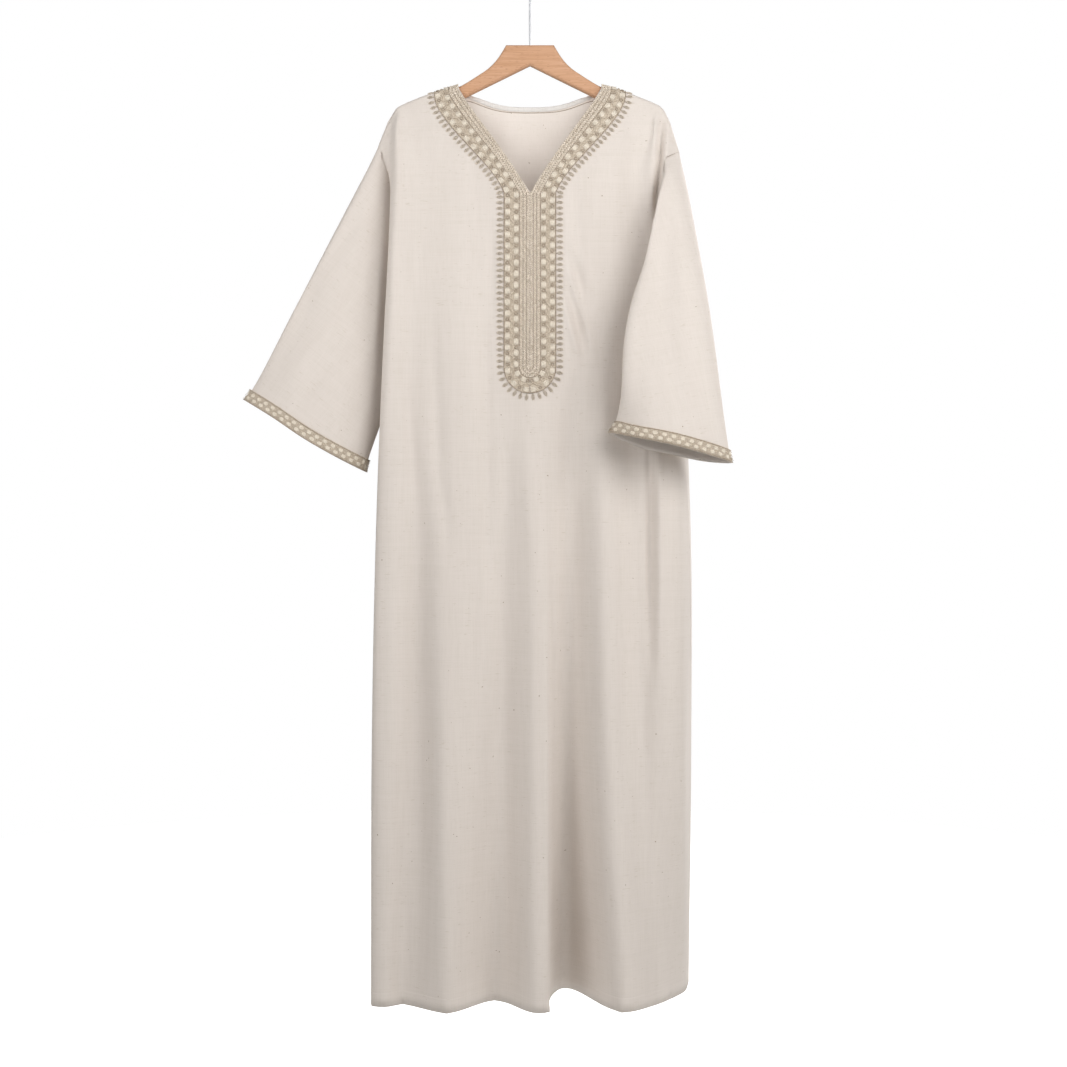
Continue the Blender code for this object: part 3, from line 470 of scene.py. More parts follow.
# %% The creases, in millimetres
# Each crease is x and z of its start, x and z of its end, its half width and its depth.
FRONT_CREASES = (
    (-190, -590, -170, -830, 8, -3.6), (-146, -515, -136, -850, 7, -3.2),
    (-66, -500, -64, -940, 7, -3.2), (70, -340, 78, -670, 9, -3.2),
    (-57, -400, -58, -560, 6, -2.0), (-168, -745, -162, -1590, 15, -6.5),
    (-136, -745, -130, -1590, 15, 3.5), (-128, -780, -124, -900, 6, -2.4),
    (-104, -760, -108, -1500, 22, 2.0), (-40, -720, -34, -1595, 17, -7.0),
    (6, -740, 8, -1590, 14, 3.6), (26, -880, 26, -1590, 6, 3.0),
    (33, -860, 33, -1592, 4, -3.6), (66, -640, 60, -1400, 19, -11.5),
    (116, -650, 112, -1420, 26, 7.0), (202, -236, 190, -390, 5, -11.0),
    (214, -218, 204, -336, 7, 4.0), (-212, -216, -214, -340, 6, -4.0),
    (-200, -200, -206, -480, 9, 5.0), (-204, -380, -221, -780, 9, 4.0),
    (181, -690, 181, -1080, 6, -8.0), (194, -700, 196, -1130, 7, 3.6),
    (120, -760, 128, -1500, 24, 1.6), (-163, -668, -150, -880, 11, 1.5),
    (-134, -600, -128, -840, 9, -1.3), (-119, -650, -116, -860, 12, 1.2),
    (-48, -700, -46, -930, 9, 1.5), (-8, -705, -2, -900, 10, 1.1),
    (-31, -730, -26, -880, 7, -1.0), (83, -610, 88, -745, 9, 1.4),
    (133, -610, 140, -740, 10, 1.2), (49, -474, 86, -602, 7, -5.0),
    (58, -470, 99, -608, 6, 3.4), (48, -520, 78, -612, 5, 2.2),
    (50, -430, 84, -516, 6, -3.8), (58, -424, 94, -500, 6, 2.0),
    (52, -560, 70, -628, 5, -2.0), (54, -376, 84, -384, 4, 1.6),
    (54, -388, 80, -398, 5, -1.4), (-215, -400, -196, -620, 8, 1.3),
    (-203, -330, -186, -560, 11, -1.2), (-178, -560, -166, -720, 9, -1.0),
    (-92, -590, -86, -700, 10, 0.9), (-62, -600, -58, -735, 8, -0.9),
    (-150, -900, -156, -1180, 16, 1.4), (-86, -960, -82, -1300, 14, -1.2),
    (60, -980, 70, -1300, 13, 1.3), (128, -900, 140, -1240, 16, -1.4),
    (160, -780, 170, -1040, 11, 1.6), (186, -620, 196, -860, 9, 1.3),
    (-218, -900, -224, -1250, 10, -1.0), (-28, -1240, -20, -1500, 12, 1.1),
    (92, -1270, 104, -1560, 12, -1.3), (-168, -1280, -178, -1540, 14, 1.2),
    (-70, -1544, -66, -1582, 6, -1.8), (-78, -1540, -80, -1582, 6, 1.4),
    (38, -1530, 42, -1582, 6, -1.6), (-128, -240, -150, -330, 14, 0.9),
    (140, -250, 168, -340, 13, -1.0), (-60, -330, -100, -470, 18, 0.8),
    (70, -330, 120, -420, 16, 0.7),
)
BACK_CREASES = (
    (-96, -236, -120, -420, 18, 3.6), (-40, -240, -52, -520, 16, -3.1),
    (12, -235, 22, -470, 20, 3.4), (74, -240, 96, -430, 15, -3.4),
    (130, -260, 150, -520, 17, 3.1), (-150, -430, -168, -700, 13, -3.9),
    (-76, -560, -84, -880, 12, 3.4), (-20, -600, -26, -980, 14, -3.1),
    (34, -640, 30, -930, 12, 3.9), (88, -600, 98, -860, 11, -3.6),
    (150, -640, 166, -960, 15, 3.6), (196, -620, 206, -900, 10, -3.4),
    (-200, -700, -216, -1040, 11, 3.6), (-140, -960, -150, -1320, 16, -3.6),
    (-66, -1080, -70, -1480, 13, 3.1), (6, -1040, 10, -1420, 15, -2.9),
    (72, -1120, 84, -1540, 14, 3.6), (140, -1060, 152, -1500, 15, -3.1),
    (-188, -1220, -200, -1560, 12, 3.1), (-30, -1540, -28, -1590, 7, -3.9),
    (110, -1535, 114, -1590, 7, 3.6),
)
RIGHT_SLEEVE_CREASES = (
    (-222, -262, -420, -638, 16, 7.0), (-204, -330, -250, -712, 12, 4.0),
    (-232, -330, -300, -560, 12, 1.3), (-246, -420, -318, -640, 10, -1.4),
    (-262, -360, -352, -570, 14, 1.2), (-292, -420, -392, -640, 12, -1.1),
    (-212, -400, -236, -620, 9, 1.4), (-222, -520, -258, -700, 9, -1.2),
    (-322, -540, -366, -690, 11, 1.1), (-330, -470, -404, -610, 9, 0.9),
)
LEFT_SLEEVE_CREASES = (
    (206, -270, 136, -690, 15, 8.0), (214, -350, 236, -620, 12, 1.3),
    (198, -420, 206, -660, 11, -1.4), (228, -330, 262, -560, 10, -1.2),
    (178, -520, 172, -700, 9, 1.3), (240, -460, 272, -700, 12, 1.2),
    (210, -600, 222, -730, 10, -1.1), (190, -330, 184, -430, 8, 1.1),
)
print("creases:", sum(map(len, (FRONT_CREASES, BACK_CREASES, RIGHT_SLEEVE_CREASES, LEFT_SLEEVE_CREASES))))

# %% Press the creases into a mesh
# Each ripple's waves per millimetre across, turn per millimetre down, shift, and height.
RIPPLES = ((0.011, 0.007, 0.4, 0.40), (0.0047, 0.0164, 1.9, 0.28), (0.019, 0.0042, 3.1, 0.25))
# Below 1, so that a crease keeps its depth along most of its length.
FADE_POWER = 0.7
# No crease reaches the shoulder seam.
CREASE_TOP_Z = -0.195
CREASE_TOP_FADE = 0.04


def crease_depth(x, z, creases):
    """How far each point moves out, in millimetres, for arrays of x and z in millimetres."""
    depth = np.zeros_like(x)
    for x0, z0, x1, z1, half_width, height in creases:
        length = math.hypot(x1 - x0, z1 - z0)
        along = ((x - x0) * (x1 - x0) + (z - z0) * (z1 - z0)) / length ** 2
        across = ((x - x0) * (z1 - z0) - (z - z0) * (x1 - x0)) / length
        fade = np.sin(math.pi * np.clip(along, 0, 1)) ** FADE_POWER
        depth += height * fade * np.exp(-((across / half_width) ** 2))
    for waves, turn, shift, height in RIPPLES:
        depth += height * np.sin(x * waves * 2 * math.pi + z * turn + shift)
    return depth


def vertex_values(mesh, name):
    """The co or the normal of every point of a mesh, one row of three for each."""
    values = np.empty(len(mesh.vertices) * 3)
    mesh.vertices.foreach_get(name, values)
    return values.reshape(-1, 3)


def press_creases(mesh, creases, outward):
    """Moves the mesh's points out by the creases, and gives the greatest depth."""
    points = vertex_values(mesh, "co")
    depth = crease_depth(points[:, 0] / MM, points[:, 2] / MM, creases)
    depth *= np.clip((CREASE_TOP_Z - points[:, 2]) / CREASE_TOP_FADE, 0, 1)
    points[:, 1] += depth * MM * outward
    mesh.vertices.foreach_set("co", points.ravel())
    mesh.update()
    return float(np.abs(depth).max())


print("ripples together reach", sum(height for *_, height in RIPPLES), "mm")

# %% [markdown]
# ## Which way is out, and the inside of the cloth
#
# A crease moves the cloth outwards: forwards on the front, backwards on the back, and away from the
# middle of a sleeve. Round the neck and in the right sleeve the inside is bright, so there it gets a
# painted glow, which stands in for light that comes through the thin cloth, while the left sleeve's
# inside is dark. Lamps inside the robe would be lost in an exported model, so each point stores how
# far it faces inwards, and the material paints the glow from that. The left sleeve's front edge is
# drawn straight by a small smooth move.

# %% Find the way out and mark the inside
# The heights at which a piece's middle is known, and over which its way out turns.
MIDDLE_Z = (-0.28, -0.78)
MIDDLE_FADE = 0.010
# How far below its height the painted glow fades in.
GLOW_FADE = 0.06


def way_out(mesh, middle):
    """How far outwards is along Y at each point, from -1 to 1. middle is the y of the piece's
    middle at the two heights."""
    points = vertex_values(mesh, "co")
    (z0, z1), (y0, y1) = MIDDLE_Z, middle
    middle_y = y0 + (y1 - y0) * (points[:, 2] - z0) / (z1 - z0)
    return np.clip((points[:, 1] - middle_y) / MIDDLE_FADE, -1, 1)


def mark_painted_glow(mesh, outward, foot_z):
    """Stores how far each point above foot_z faces into the garment, from 0 to 1. The material paints a
    weak glow there.
    """
    facing = vertex_values(mesh, "normal")[:, 1] * outward
    high = np.clip((vertex_values(mesh, "co")[:, 2] - foot_z) / GLOW_FADE + 0.5, 0, 1)
    layer = mesh.attributes.new("inside", "FLOAT", "POINT")
    layer.data.foreach_set("value", np.clip(-facing, 0, 1) * high)


print("a sleeve's way out turns over", MIDDLE_FADE, "m on each side of its middle")

# %% Straighten the left sleeve's front edge
# The edge as (z, x) in metres, and how far it is drawn along X.
EDGE_LINE = ((-0.47, 0.166), (-0.71, 0.135))
EDGE_DRAW = -0.010
EDGE_REACH = 0.07


def straighten_edge(mesh):
    """Draws the left sleeve's front edge sideways, so that it hangs straight to the cuff."""
    (z0, x0), (z1, x1) = EDGE_LINE
    for vert in mesh.vertices:
        down = (vert.co.z - z0) / (z1 - z0)
        if 0 < down < 1:
            away = vert.co.x - (x0 + (x1 - x0) * down)
            near = max(0.0, 1 - max(0.0, away) / EDGE_REACH)
            vert.co.x += EDGE_DRAW * math.sin(math.pi * down) * near * near
    mesh.update()


print("the edge is drawn by at most", round(abs(EDGE_DRAW) / MM), "mm")

# %% Make the four cloth pieces
CLOTH_LEVELS = 2
# Each piece's name, solid, material, creases, middle, and the height above which its inside gets a
# painted glow. The front's middle lies far behind it and the back's far before it, so all their
# points move one way. The left sleeve's inside never gets the painted glow, because it is dark in
# the picture.
CLOTHS = (
    ("front_cloth", "front_panel", body_cloth, FRONT_CREASES, (1.0, 1.0), -0.44),
    ("back_cloth", "back_panel", body_cloth, BACK_CREASES, (-1.0, -1.0), -0.44),
    ("right_sleeve_cloth", "sleeve_right", right_sleeve_cloth, RIGHT_SLEEVE_CREASES, (0.004, 0.004), -1.0),
    ("left_sleeve_cloth", "sleeve_left", left_sleeve_cloth, LEFT_SLEEVE_CREASES, (-0.012, -0.092), 0.0),
)

cloth = {}
for name, node, finish, creases, middle, glow_above_z in CLOTHS:
    bm = merged_copy(node)
    crease_rims(bm)
    mesh = subdivided(bm, CLOTH_LEVELS)
    outward = way_out(mesh, middle)
    mark_painted_glow(mesh, outward, glow_above_z)
    deepest = press_creases(mesh, creases, outward)
    if name == "left_sleeve_cloth":
        straighten_edge(mesh)
    cloth[name] = new_piece(name, mesh, finish)
    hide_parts(node)
    print("its deepest crease is", round(deepest, 1), "mm")

# %% [markdown]
# ## The hanger and its hook
#
# A plain hanger is cut from beech board, its edges rounded and its face sealed with a satin lacquer.
# Beech has a fine straight grain with short darker flecks. The grain follows the arms, so its noise
# is long along X. The hook is plated steel wire. It was drawn through a die, which leaves faint lines
# along it, so its shine is satin and a little uneven. The solids have the right shape, so the wood's
# flat triangles are only dissolved into clean faces, and the wire is rounded.

# %% The wood and the wire
GRAIN_MM = 1.6
GRAIN_LENGTH_MM = 70.0
FLECK_MM = 1.1
FLECK_LENGTH_MM = 8.0
GRAIN_BUMP = 0.3 * MM
GRAIN_STOPS = ((0.30, linear("BD8F6B")), (0.52, linear("C99B79")), (0.75, linear("D1A687")))
FLECK_STOPS = ((0.66, BLACK), (0.74, WHITE))
WIRE_LINE_MM = 0.4
WIRE_LINE_LENGTH_MM = 20.0

beech, tree, shader = new_material("satin lacquered beech")
place = add(tree, "TexCoord", out="Object")
grain = fibres(tree, place, (GRAIN_LENGTH_MM, GRAIN_MM, GRAIN_MM), 4.0)
grain_colour = add(tree, "ValToRGB", stops=GRAIN_STOPS, Fac=grain)
fleck = fibres(tree, place, (FLECK_LENGTH_MM, FLECK_MM, FLECK_MM), 0.0)
flecks = add(tree, "ValToRGB", stops=FLECK_STOPS, Fac=fleck)
feed(
    tree, shader, Roughness=0.42, Coat_Weight=0.25, Coat_Roughness=0.25,
    Base_Color=add(tree, "Mix", MIX, out=2, Factor=flecks, _6=grain_colour, _7=linear("B68866")),
    Normal=add(tree, "Bump", Strength=0.15, Distance=GRAIN_BUMP, Height=grain),
)

wire, tree, shader = new_material("satin plated steel wire")
place = add(tree, "TexCoord", out="Object")
drawn = fibres(tree, place, (WIRE_LINE_MM, WIRE_LINE_MM, WIRE_LINE_LENGTH_MM), 2.0)
feed(
    tree, shader, Base_Color=linear("BDBEC1"), Metallic=1.0,
    Roughness=add(tree, "MapRange", Value=drawn, To_Min=0.42, To_Max=0.55),
)
print("hanger materials:", beech.name, wire.name)

# %% Finish the wooden hanger
FLAT_ANGLE = math.radians(0.6)

bm = merged_copy("hanger_body", quads=False)
bmesh.ops.dissolve_limit(
    bm, angle_limit=FLAT_ANGLE, verts=bm.verts, edges=bm.edges, use_dissolve_boundaries=False
)
hanger_mesh = as_mesh(bm)
hanger_mesh.shade_smooth()
hanger = new_piece("hanger_wood", hanger_mesh, beech)
hanger.modifiers.new("even shading", "WEIGHTED_NORMAL").keep_sharp = True
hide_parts("hanger_body")

# %% Finish the wire hook
HOOK_LEVELS = 2

hook_mesh = subdivided(merged_copy("hanger_hook"), HOOK_LEVELS)
hook = new_piece("hanger_wire", hook_mesh, wire)
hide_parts("hanger_hook")

# %% [markdown]
# ## Where the embroidery lies
#
# Moroccan robes carry couched cord and satin stitch on a band round the neck. A bump pattern could
# stand for it, but only threads of their own catch the light as stitches do. The band runs over the
# shoulder, down the V, down the placket and round its end. A place on it is given by t, which counts
# those four stretches, and by inset, which is how far in from the outer edge it is. A ray shot at the
# cloth finds the point, so every thread follows the folds below it.

# %% The neck band's own map
# The inner and the outer edge of the V, as x and drop below the shoulder, in millimetres.
NECK_CURVE = ((109, -2), (91, 35), (30, 118), (1, 171))
TRIM_CURVE = ((157, 13), (155, 70), (62, 128), (51, 171))
SHOULDER_Z = -185.0
# The cloth rolls over the shoulder with this radius, and the band's outer edge with a part of it.
ROLL = 9.4
TRIM_ROLL = 0.9
BAND_WIDTH = 51.0
BAND_EDGE = 0.5
V_DROP = 171.0
END_DROP = 435.0
TOP_ANGLE = 12.0
RAY_START = 0.15


def curve_point(handles, t):
    """The point at t, from 0 to 1, of the cubic curve with those four handles."""
    a, b, c, d = (Vector(handle) for handle in handles)
    s = 1 - t
    return a * s ** 3 + b * (3 * s * s * t) + c * (3 * s * t * t) + d * t ** 3


def tree_of(piece):
    """A search tree of a finished piece's faces."""
    bm = bmesh.new()
    bm.from_mesh(piece.data)
    found = BVHTree.FromBMesh(bm)
    bm.free()
    return found


def neck_map(side, cloth_tree):
    """The function that finds a place on one half of the neck band. side is -1 for the wearer's
    right and 1 for the left."""

    def place(t, inset):
        share = min(inset, BAND_WIDTH - BAND_EDGE) / BAND_WIDTH
        foot = ROLL * (TRIM_ROLL + (1 - TRIM_ROLL) * share)
        out = Vector((0, -1, 0))
        reach = RAY_START
        if t < 1:
            angle = math.radians(TOP_ANGLE + (90 - TOP_ANGLE) * t)
            out = Vector((0, -math.sin(angle), math.cos(angle)))
            reach = 3 * ROLL * MM
        if t < 2:
            down = max(t - 1, 0)
            x, drop = curve_point(TRIM_CURVE, down).lerp(curve_point(NECK_CURVE, down), share)
            drop += foot * (1 - down) ** 2
        elif t < 3:
            x = BAND_WIDTH * (1 - share)
            drop = V_DROP + (END_DROP - V_DROP) * (t - 2)
        else:
            angle = math.pi / 2 * (t - 3)
            x = BAND_WIDTH * (1 - share) * math.cos(angle)
            drop = END_DROP + BAND_WIDTH * (1 - share) * math.sin(angle)
        centre = Vector((side * x * MM, 0, (SHOULDER_Z - drop) * MM))
        hit, normal, _, _ = cloth_tree.ray_cast(centre + out * reach, -out)
        if hit is None:
            hit, normal, _, _ = cloth_tree.find_nearest(centre + out * ROLL * MM)
        return hit, normal

    return place


front_tree = tree_of(cloth["front_cloth"])
neck_maps = {"right": neck_map(-1, front_tree), "left": neck_map(1, front_tree)}
print("V bottom on the cloth:", [round(v, 4) for v in neck_maps["left"](2.0, 50)[0]])

# %% Even steps along a line of the band
SAMPLES = 320
T_STEP = 0.004
ASIDE_STEP = 1.5


def track(place, end, inset):
    """The values of t along a line of constant inset, and the length in millimetres up to each."""
    ts = np.linspace(0, end, SAMPLES)
    points = np.array([place(t, inset)[0] for t in ts])
    steps = np.linalg.norm(np.diff(points, axis=0), axis=1) / MM
    return ts, np.concatenate([[0.0], np.cumsum(steps)])


def spot(place, t, inset):
    """A point on the band with its three directions: along, towards the outer edge, and up."""
    point, normal = place(t, inset)
    along = (place(t + T_STEP, inset)[0] - place(t - T_STEP, inset)[0]).normalized()
    outward = place(t, inset - ASIDE_STEP)[0] - place(t, inset + ASIDE_STEP)[0]
    outward = (outward - along * outward.dot(along)).normalized()
    normal = (normal - along * normal.dot(along)).normalized()
    return point, along, outward, normal


def spots(place, end, inset, pitch, shift=0.5, guide=None):
    """Spots at even steps along a line, the first at that share of a step. guide is the inset of
    the line that is measured, where it is another one."""
    ts, lengths = track(place, end, inset if guide is None else guide)
    count = max(1, round(lengths[-1] / pitch))
    pitch = lengths[-1] / count
    for k in range(count):
        t = float(np.interp((k + shift) * pitch, lengths, ts))
        yield spot(place, min(max(t, T_STEP), end - T_STEP), inset)


def line_points(place, end, inset, step, lift, sway=None, closed=False):
    """Points of a cord that lies along the band. sway gives, for the share of the length so far,
    how far it leans towards the outer edge in millimetres."""
    ts, lengths = track(place, end, inset)
    count = max(2, round(lengths[-1] / step))
    last = count - 1 if closed else count
    points = []
    for k in range(last + 1):
        far = lengths[-1] * k / count
        t = float(np.interp(far, lengths, ts))
        lean = sway(far / lengths[-1]) if sway else 0.0
        point, normal = place(t, inset - lean)
        points.append(point + normal * lift * MM)
    return points


print("the outer edge of a half band is", round(float(track(neck_maps["left"], 4, 0.5)[1][-1])), "mm long")

# %% [markdown]
# ## Stitches and cords
#
# A stitch is a short bundle of thread that stands up in its middle and dives into the cloth at both
# ends, so a stretched ball with few sides is enough for it. There are thousands, and they are one
# joined mesh for each thread. A couched cord is a round tube that lies on the cloth, and a curve with
# a bevel makes it.

# %% Join many stitches into one mesh
STITCH_SIDES = 6
STITCH_RINGS = 4
TO_LENGTH = Matrix.Rotation(math.radians(90), 4, "Y")


def stitch_mesh(stitches):
    """One mesh of many stitches. Each is its middle, its direction and the way up, and its
    length, width and height in millimetres."""
    bm = bmesh.new()
    bmesh.ops.create_uvsphere(
        bm, u_segments=STITCH_SIDES, v_segments=STITCH_RINGS, radius=0.5, matrix=TO_LENGTH
    )
    ball = np.array([vert.co for vert in bm.verts])
    faces = [[vert.index for vert in face.verts] for face in bm.faces]
    bm.free()
    points = []
    polygons = []
    for k, (middle, direction, up, length, width, height) in enumerate(stitches):
        side = up.cross(direction).normalized()
        up = direction.cross(side).normalized()
        axes = np.array([direction * length, side * width, up * height]) * MM
        points.append(ball @ axes + np.array(middle))
        polygons += [[index + k * len(ball) for index in face] for face in faces]
    mesh = bpy.data.meshes.new("stitches")
    mesh.from_pydata(np.concatenate(points).tolist(), [], polygons)
    mesh.shade_smooth()
    return mesh


print("a stitch has", STITCH_SIDES * (STITCH_RINGS * 2 - 2), "triangles")

# %% Join many cords into one mesh
CORD_SIDES = 6


def cord_mesh(cords, thickness_mm):
    """One mesh of many cords. Each is a list of points and whether it is a closed ring."""
    curve = bpy.data.curves.new("cords", "CURVE")
    curve.dimensions = "3D"
    curve.bevel_depth = thickness_mm / 2 * MM
    curve.bevel_resolution = CORD_SIDES // 2 - 2
    curve.use_fill_caps = True
    for points, closed in cords:
        spline = curve.splines.new("POLY")
        spline.points.add(len(points) - 1)
        for target, point in zip(spline.points, points):
            target.co = (*point, 1.0)
        spline.use_cyclic_u = closed
    return applied(in_scene("cords", curve))


def ring_points(place_spot, radius_mm, lift, count, outward_mm=0.0, stretch=1.0):
    """The points of a small ring of cord on a spot, moved and stretched towards the outer edge."""
    point, along, outward, normal = place_spot
    points = []
    for k in range(count):
        angle = 2 * math.pi * k / count
        side = along * radius_mm * math.sin(angle)
        out = outward * (outward_mm + radius_mm * stretch * math.cos(angle))
        points.append(point + (side + out + normal * lift) * MM)
    return points


print("a cord has", CORD_SIDES, "sides")

# %% [markdown]
# ## The threads
#
# Embroidery of this kind is worked in rayon or cotton, in a few close shades of sand. Rayon has a soft
# gloss, and cotton is duller. Each thread is twisted and takes the dye unevenly, so fine noise gives it
# its colour and bump. The ground between the motifs is packed with tiny knots, and a pattern of cells
# gives it their size and shadow.

# %% Thread materials
TONE_MM = 2.4
TWIST_MM = 0.7
KNOT_MM = 1.9
TWIST_BUMP = 0.2 * MM
KNOT_BUMP = 0.6 * MM


def thread_finish(name, light, dark, roughness):
    """Twisted embroidery thread with an uneven dye."""
    made, tree, shader = new_material(name)
    place = add(tree, "TexCoord", out="Object")
    tone = add(tree, "TexNoise", Vector=place, Scale=per_metre(TONE_MM), Detail=3.0)
    stops = ((0.35, linear(dark)), (0.62, linear(light)))
    twist = add(tree, "TexNoise", Vector=place, Scale=per_metre(TWIST_MM), Detail=1.0)
    feed(
        tree, shader, Base_Color=add(tree, "ValToRGB", stops=stops, Fac=tone),
        Normal=add(tree, "Bump", Strength=0.5, Distance=TWIST_BUMP, Height=twist),
        Roughness=roughness, Specular_IOR_Level=0.35, Sheen_Weight=0.15,
    )
    return made


def knotted_ground(name, light, dark):
    """Ground that is packed with tiny knots of thread."""
    made, tree, shader = new_material(name)
    place = add(tree, "TexCoord", out="Object")
    knot = add(tree, "TexVoronoi", out="Distance", Vector=place, Scale=per_metre(KNOT_MM))
    tone = add(tree, "TexNoise", Vector=place, Scale=per_metre(TONE_MM), Detail=2.0)
    mixed = add(tree, "Math", {"operation": "SUBTRACT"}, _0=tone, _1=knot)
    stops = ((0.0, linear(dark)), (0.42, linear(light)))
    feed(
        tree, shader, Base_Color=add(tree, "ValToRGB", stops=stops, Fac=mixed),
        Normal=add(tree, "Bump", {"invert": True}, Strength=0.7, Distance=KNOT_BUMP, Height=knot),
        Roughness=0.7, Specular_IOR_Level=0.25,
    )
    return made


cream_rayon = thread_finish("cream satin stitch in rayon", "E7DDCE", "D7CCBB", 0.42)
sand_cord = thread_finish("sand braid in cotton", "EADFD1", "C2B4A1", 0.55)
tan_cord = thread_finish("tan couched cord", "D3C6B5", "B5A692", 0.55)
loop_cord = thread_finish("grey tan loop cord", "CBBFB0", "AFA291", 0.6)
dark_cord = thread_finish("dark outline cord", "B0A190", "978776", 0.6)
ground = knotted_ground("knotted sand ground", "DCD1C1", "BAAC9A")
print("threads:", [m.name for m in (cream_rayon, sand_cord, tan_cord, loop_cord, dark_cord, ground)])

# %% [markdown]
# ## The neck band
#
# From the neck edge outwards the band has three herringbone braids with dark cords between them, one
# more dark cord, two staggered rows of small cream stars with a dark ring between each two and a cord
# winding between the rows, another dark cord, and a fringe of grey tan loops on the plain cloth. The
# ground is a thin layer under all but the loops: a grid that is laid on the cloth by the band's map
# and then thickened.

# %% Lay the ground
GROUND_INSET = 11.6
GROUND_EDGE = 0.55
GROUND_COLUMNS = 12
GROUND_UNDER_MM = 0.10
GROUND_THICK_MM = 0.75
GROUND_SHARP = math.radians(50)
# How many rows of faces each of the band's four stretches gets, and how far round its end they go.
GROUND_ROWS = (8, 54, 58, 30)
END_SHARE = 0.985
GRID_DIGITS = 6


def ground_half(bm, place):
    """Adds one half of the neck band's ground: a grid laid on the cloth and thickened."""
    shares = [first + k / rows for first, rows in enumerate(GROUND_ROWS) for k in range(rows)]
    shares.append(3 + END_SHARE)
    made = bmesh.ops.create_grid(bm, x_segments=GROUND_COLUMNS, y_segments=len(shares) - 1, size=1.0)
    verts = made["verts"]
    rows = sorted({round(vert.co.y, GRID_DIGITS) for vert in verts})
    inner = BAND_WIDTH - GROUND_EDGE
    for vert in verts:
        t = shares[rows.index(round(vert.co.y, GRID_DIGITS))]
        inset = GROUND_INSET + (inner - GROUND_INSET) * (vert.co.x + 1) / 2
        point, normal = place(t, inset)
        vert.co = point + normal * GROUND_UNDER_MM * MM
    faces = list(dict.fromkeys(face for vert in verts for face in vert.link_faces))
    bmesh.ops.recalc_face_normals(bm, faces=faces)
    if sum(face.normal.y for face in faces) > 0:
        bmesh.ops.reverse_faces(bm, faces=faces)
    bmesh.ops.solidify(bm, geom=faces, thickness=-GROUND_THICK_MM * MM)


bm = bmesh.new()
ground_half(bm, neck_maps["right"])
ground_half(bm, neck_maps["left"])
ground_mesh = as_mesh(bm)
ground_mesh.shade_smooth()
ground_mesh.set_sharp_from_angle(angle=GROUND_SHARP)
neck_band = new_piece("neck_band", ground_mesh, ground)
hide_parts("neck_trim")

# %% [markdown]
# ## The motifs
#
# Each motif is a rule that says where its stitches lie beside a spot of the band, so that it can be
# repeated along any line. A braid leans its stitches to both sides like a herring's bones, a star is
# a block of four satin stitches with longer ones in its middle, and a loop is a stretched ring with a
# stem, a bar and a knot. The neck and the cuffs share the stars, and a table gives each its sizes.

# %% The motifs that the bands share
# In millimetres. A row has its inset, and the share of a step before its first star. Its rings lie
# midway between the stars. A stitch of a star has its place aside and its length, and then all have
# the same width and height. A knot has its places along and aside, and all have one size.
NECK_STARS = {
    "rows": ((30.6, 0.25), (17.2, 0.75)), "guide": 24.0, "pitch": 17.0,
    "stitches": ((-2.7, 9.0), (-0.9, 11.4), (0.9, 11.4), (2.7, 9.0)), "thread": (2.1, 1.5),
    "knots": ((5.0, 2.9), (5.0, -2.9), (-5.0, 2.9), (-5.0, -2.9)), "knot": (1.8, 1.8, 1.4),
    "ring_radius": 2.1, "ring_sides": 9, "star_lift": 0.30, "knot_lift": 0.2, "ring_lift": 0.45,
}
CUFF_STARS = {
    "rows": ((5.9, 0.25), (12.6, 0.75)), "guide": 9.5, "pitch": 13.7,
    "stitches": ((-1.8, 6.8), (-0.6, 9.0), (0.6, 9.0), (1.8, 6.8)), "thread": (1.6, 1.1),
    "knots": ((5.0, 2.7), (5.0, -2.7), (-5.0, 2.7), (-5.0, -2.7)), "knot": (1.5, 1.5, 1.2),
    "ring_radius": 1.6, "ring_sides": 8, "star_lift": 0.3, "knot_lift": 0.2, "ring_lift": 0.4,
}


def beside(place_spot, forward, aside, lift):
    """A place beside a spot, that far along the band, towards its outer edge and up."""
    point, along, outward, normal = place_spot
    return point + (along * forward + outward * aside + normal * lift) * MM


def star_rows(place, end, motif, base):
    """The satin stitches, the knots and the rings of the staggered rows of stars on a band whose
    surface lies base millimetres above its map."""
    satin, knotted, rings = [], [], []
    for inset, shift in motif["rows"]:
        for star in spots(place, end, inset, motif["pitch"], shift, motif["guide"]):
            _, along, _, normal = star
            for aside, length in motif["stitches"]:
                middle = beside(star, 0.0, aside, base + motif["star_lift"])
                satin.append((middle, along, normal, length, *motif["thread"]))
            for forward, aside in motif["knots"]:
                middle = beside(star, forward, aside, base + motif["knot_lift"])
                knotted.append((middle, along, normal, *motif["knot"]))
        for gap in spots(place, end, inset, motif["pitch"], 1 - shift, motif["guide"]):
            lift = base + motif["ring_lift"]
            rings.append((ring_points(gap, motif["ring_radius"], lift, motif["ring_sides"]), True))
    return satin, knotted, rings


def thread_piece(name, mesh, finish):
    """A finished piece of embroidery."""
    return new_piece(name, mesh, finish)


print("a neck star has", len(NECK_STARS["stitches"]), "stitches and", len(NECK_STARS["knots"]), "knots")

# %% Work the braids, the dark cords and the stars of the neck
NECK_END = 4.0
GROUND_TOP = GROUND_UNDER_MM + GROUND_THICK_MM
BRAID_INSETS = (48.4, 43.3, 38.2)
BRAID_PITCH = 3.6
BRAID_LEAN = math.radians(38)
BRAID_ASIDE = 1.05
BRAID_STITCH = (4.9, 1.9, 1.9)
BRAID_LIFT = 0.25
DARK_LINES = (45.9, 40.8, 35.2, 12.2)
DARK_CORD_MM = 1.2
LINE_STEP = 2.4
LINE_LIFT = 0.25
RING_CORD_MM = 1.3


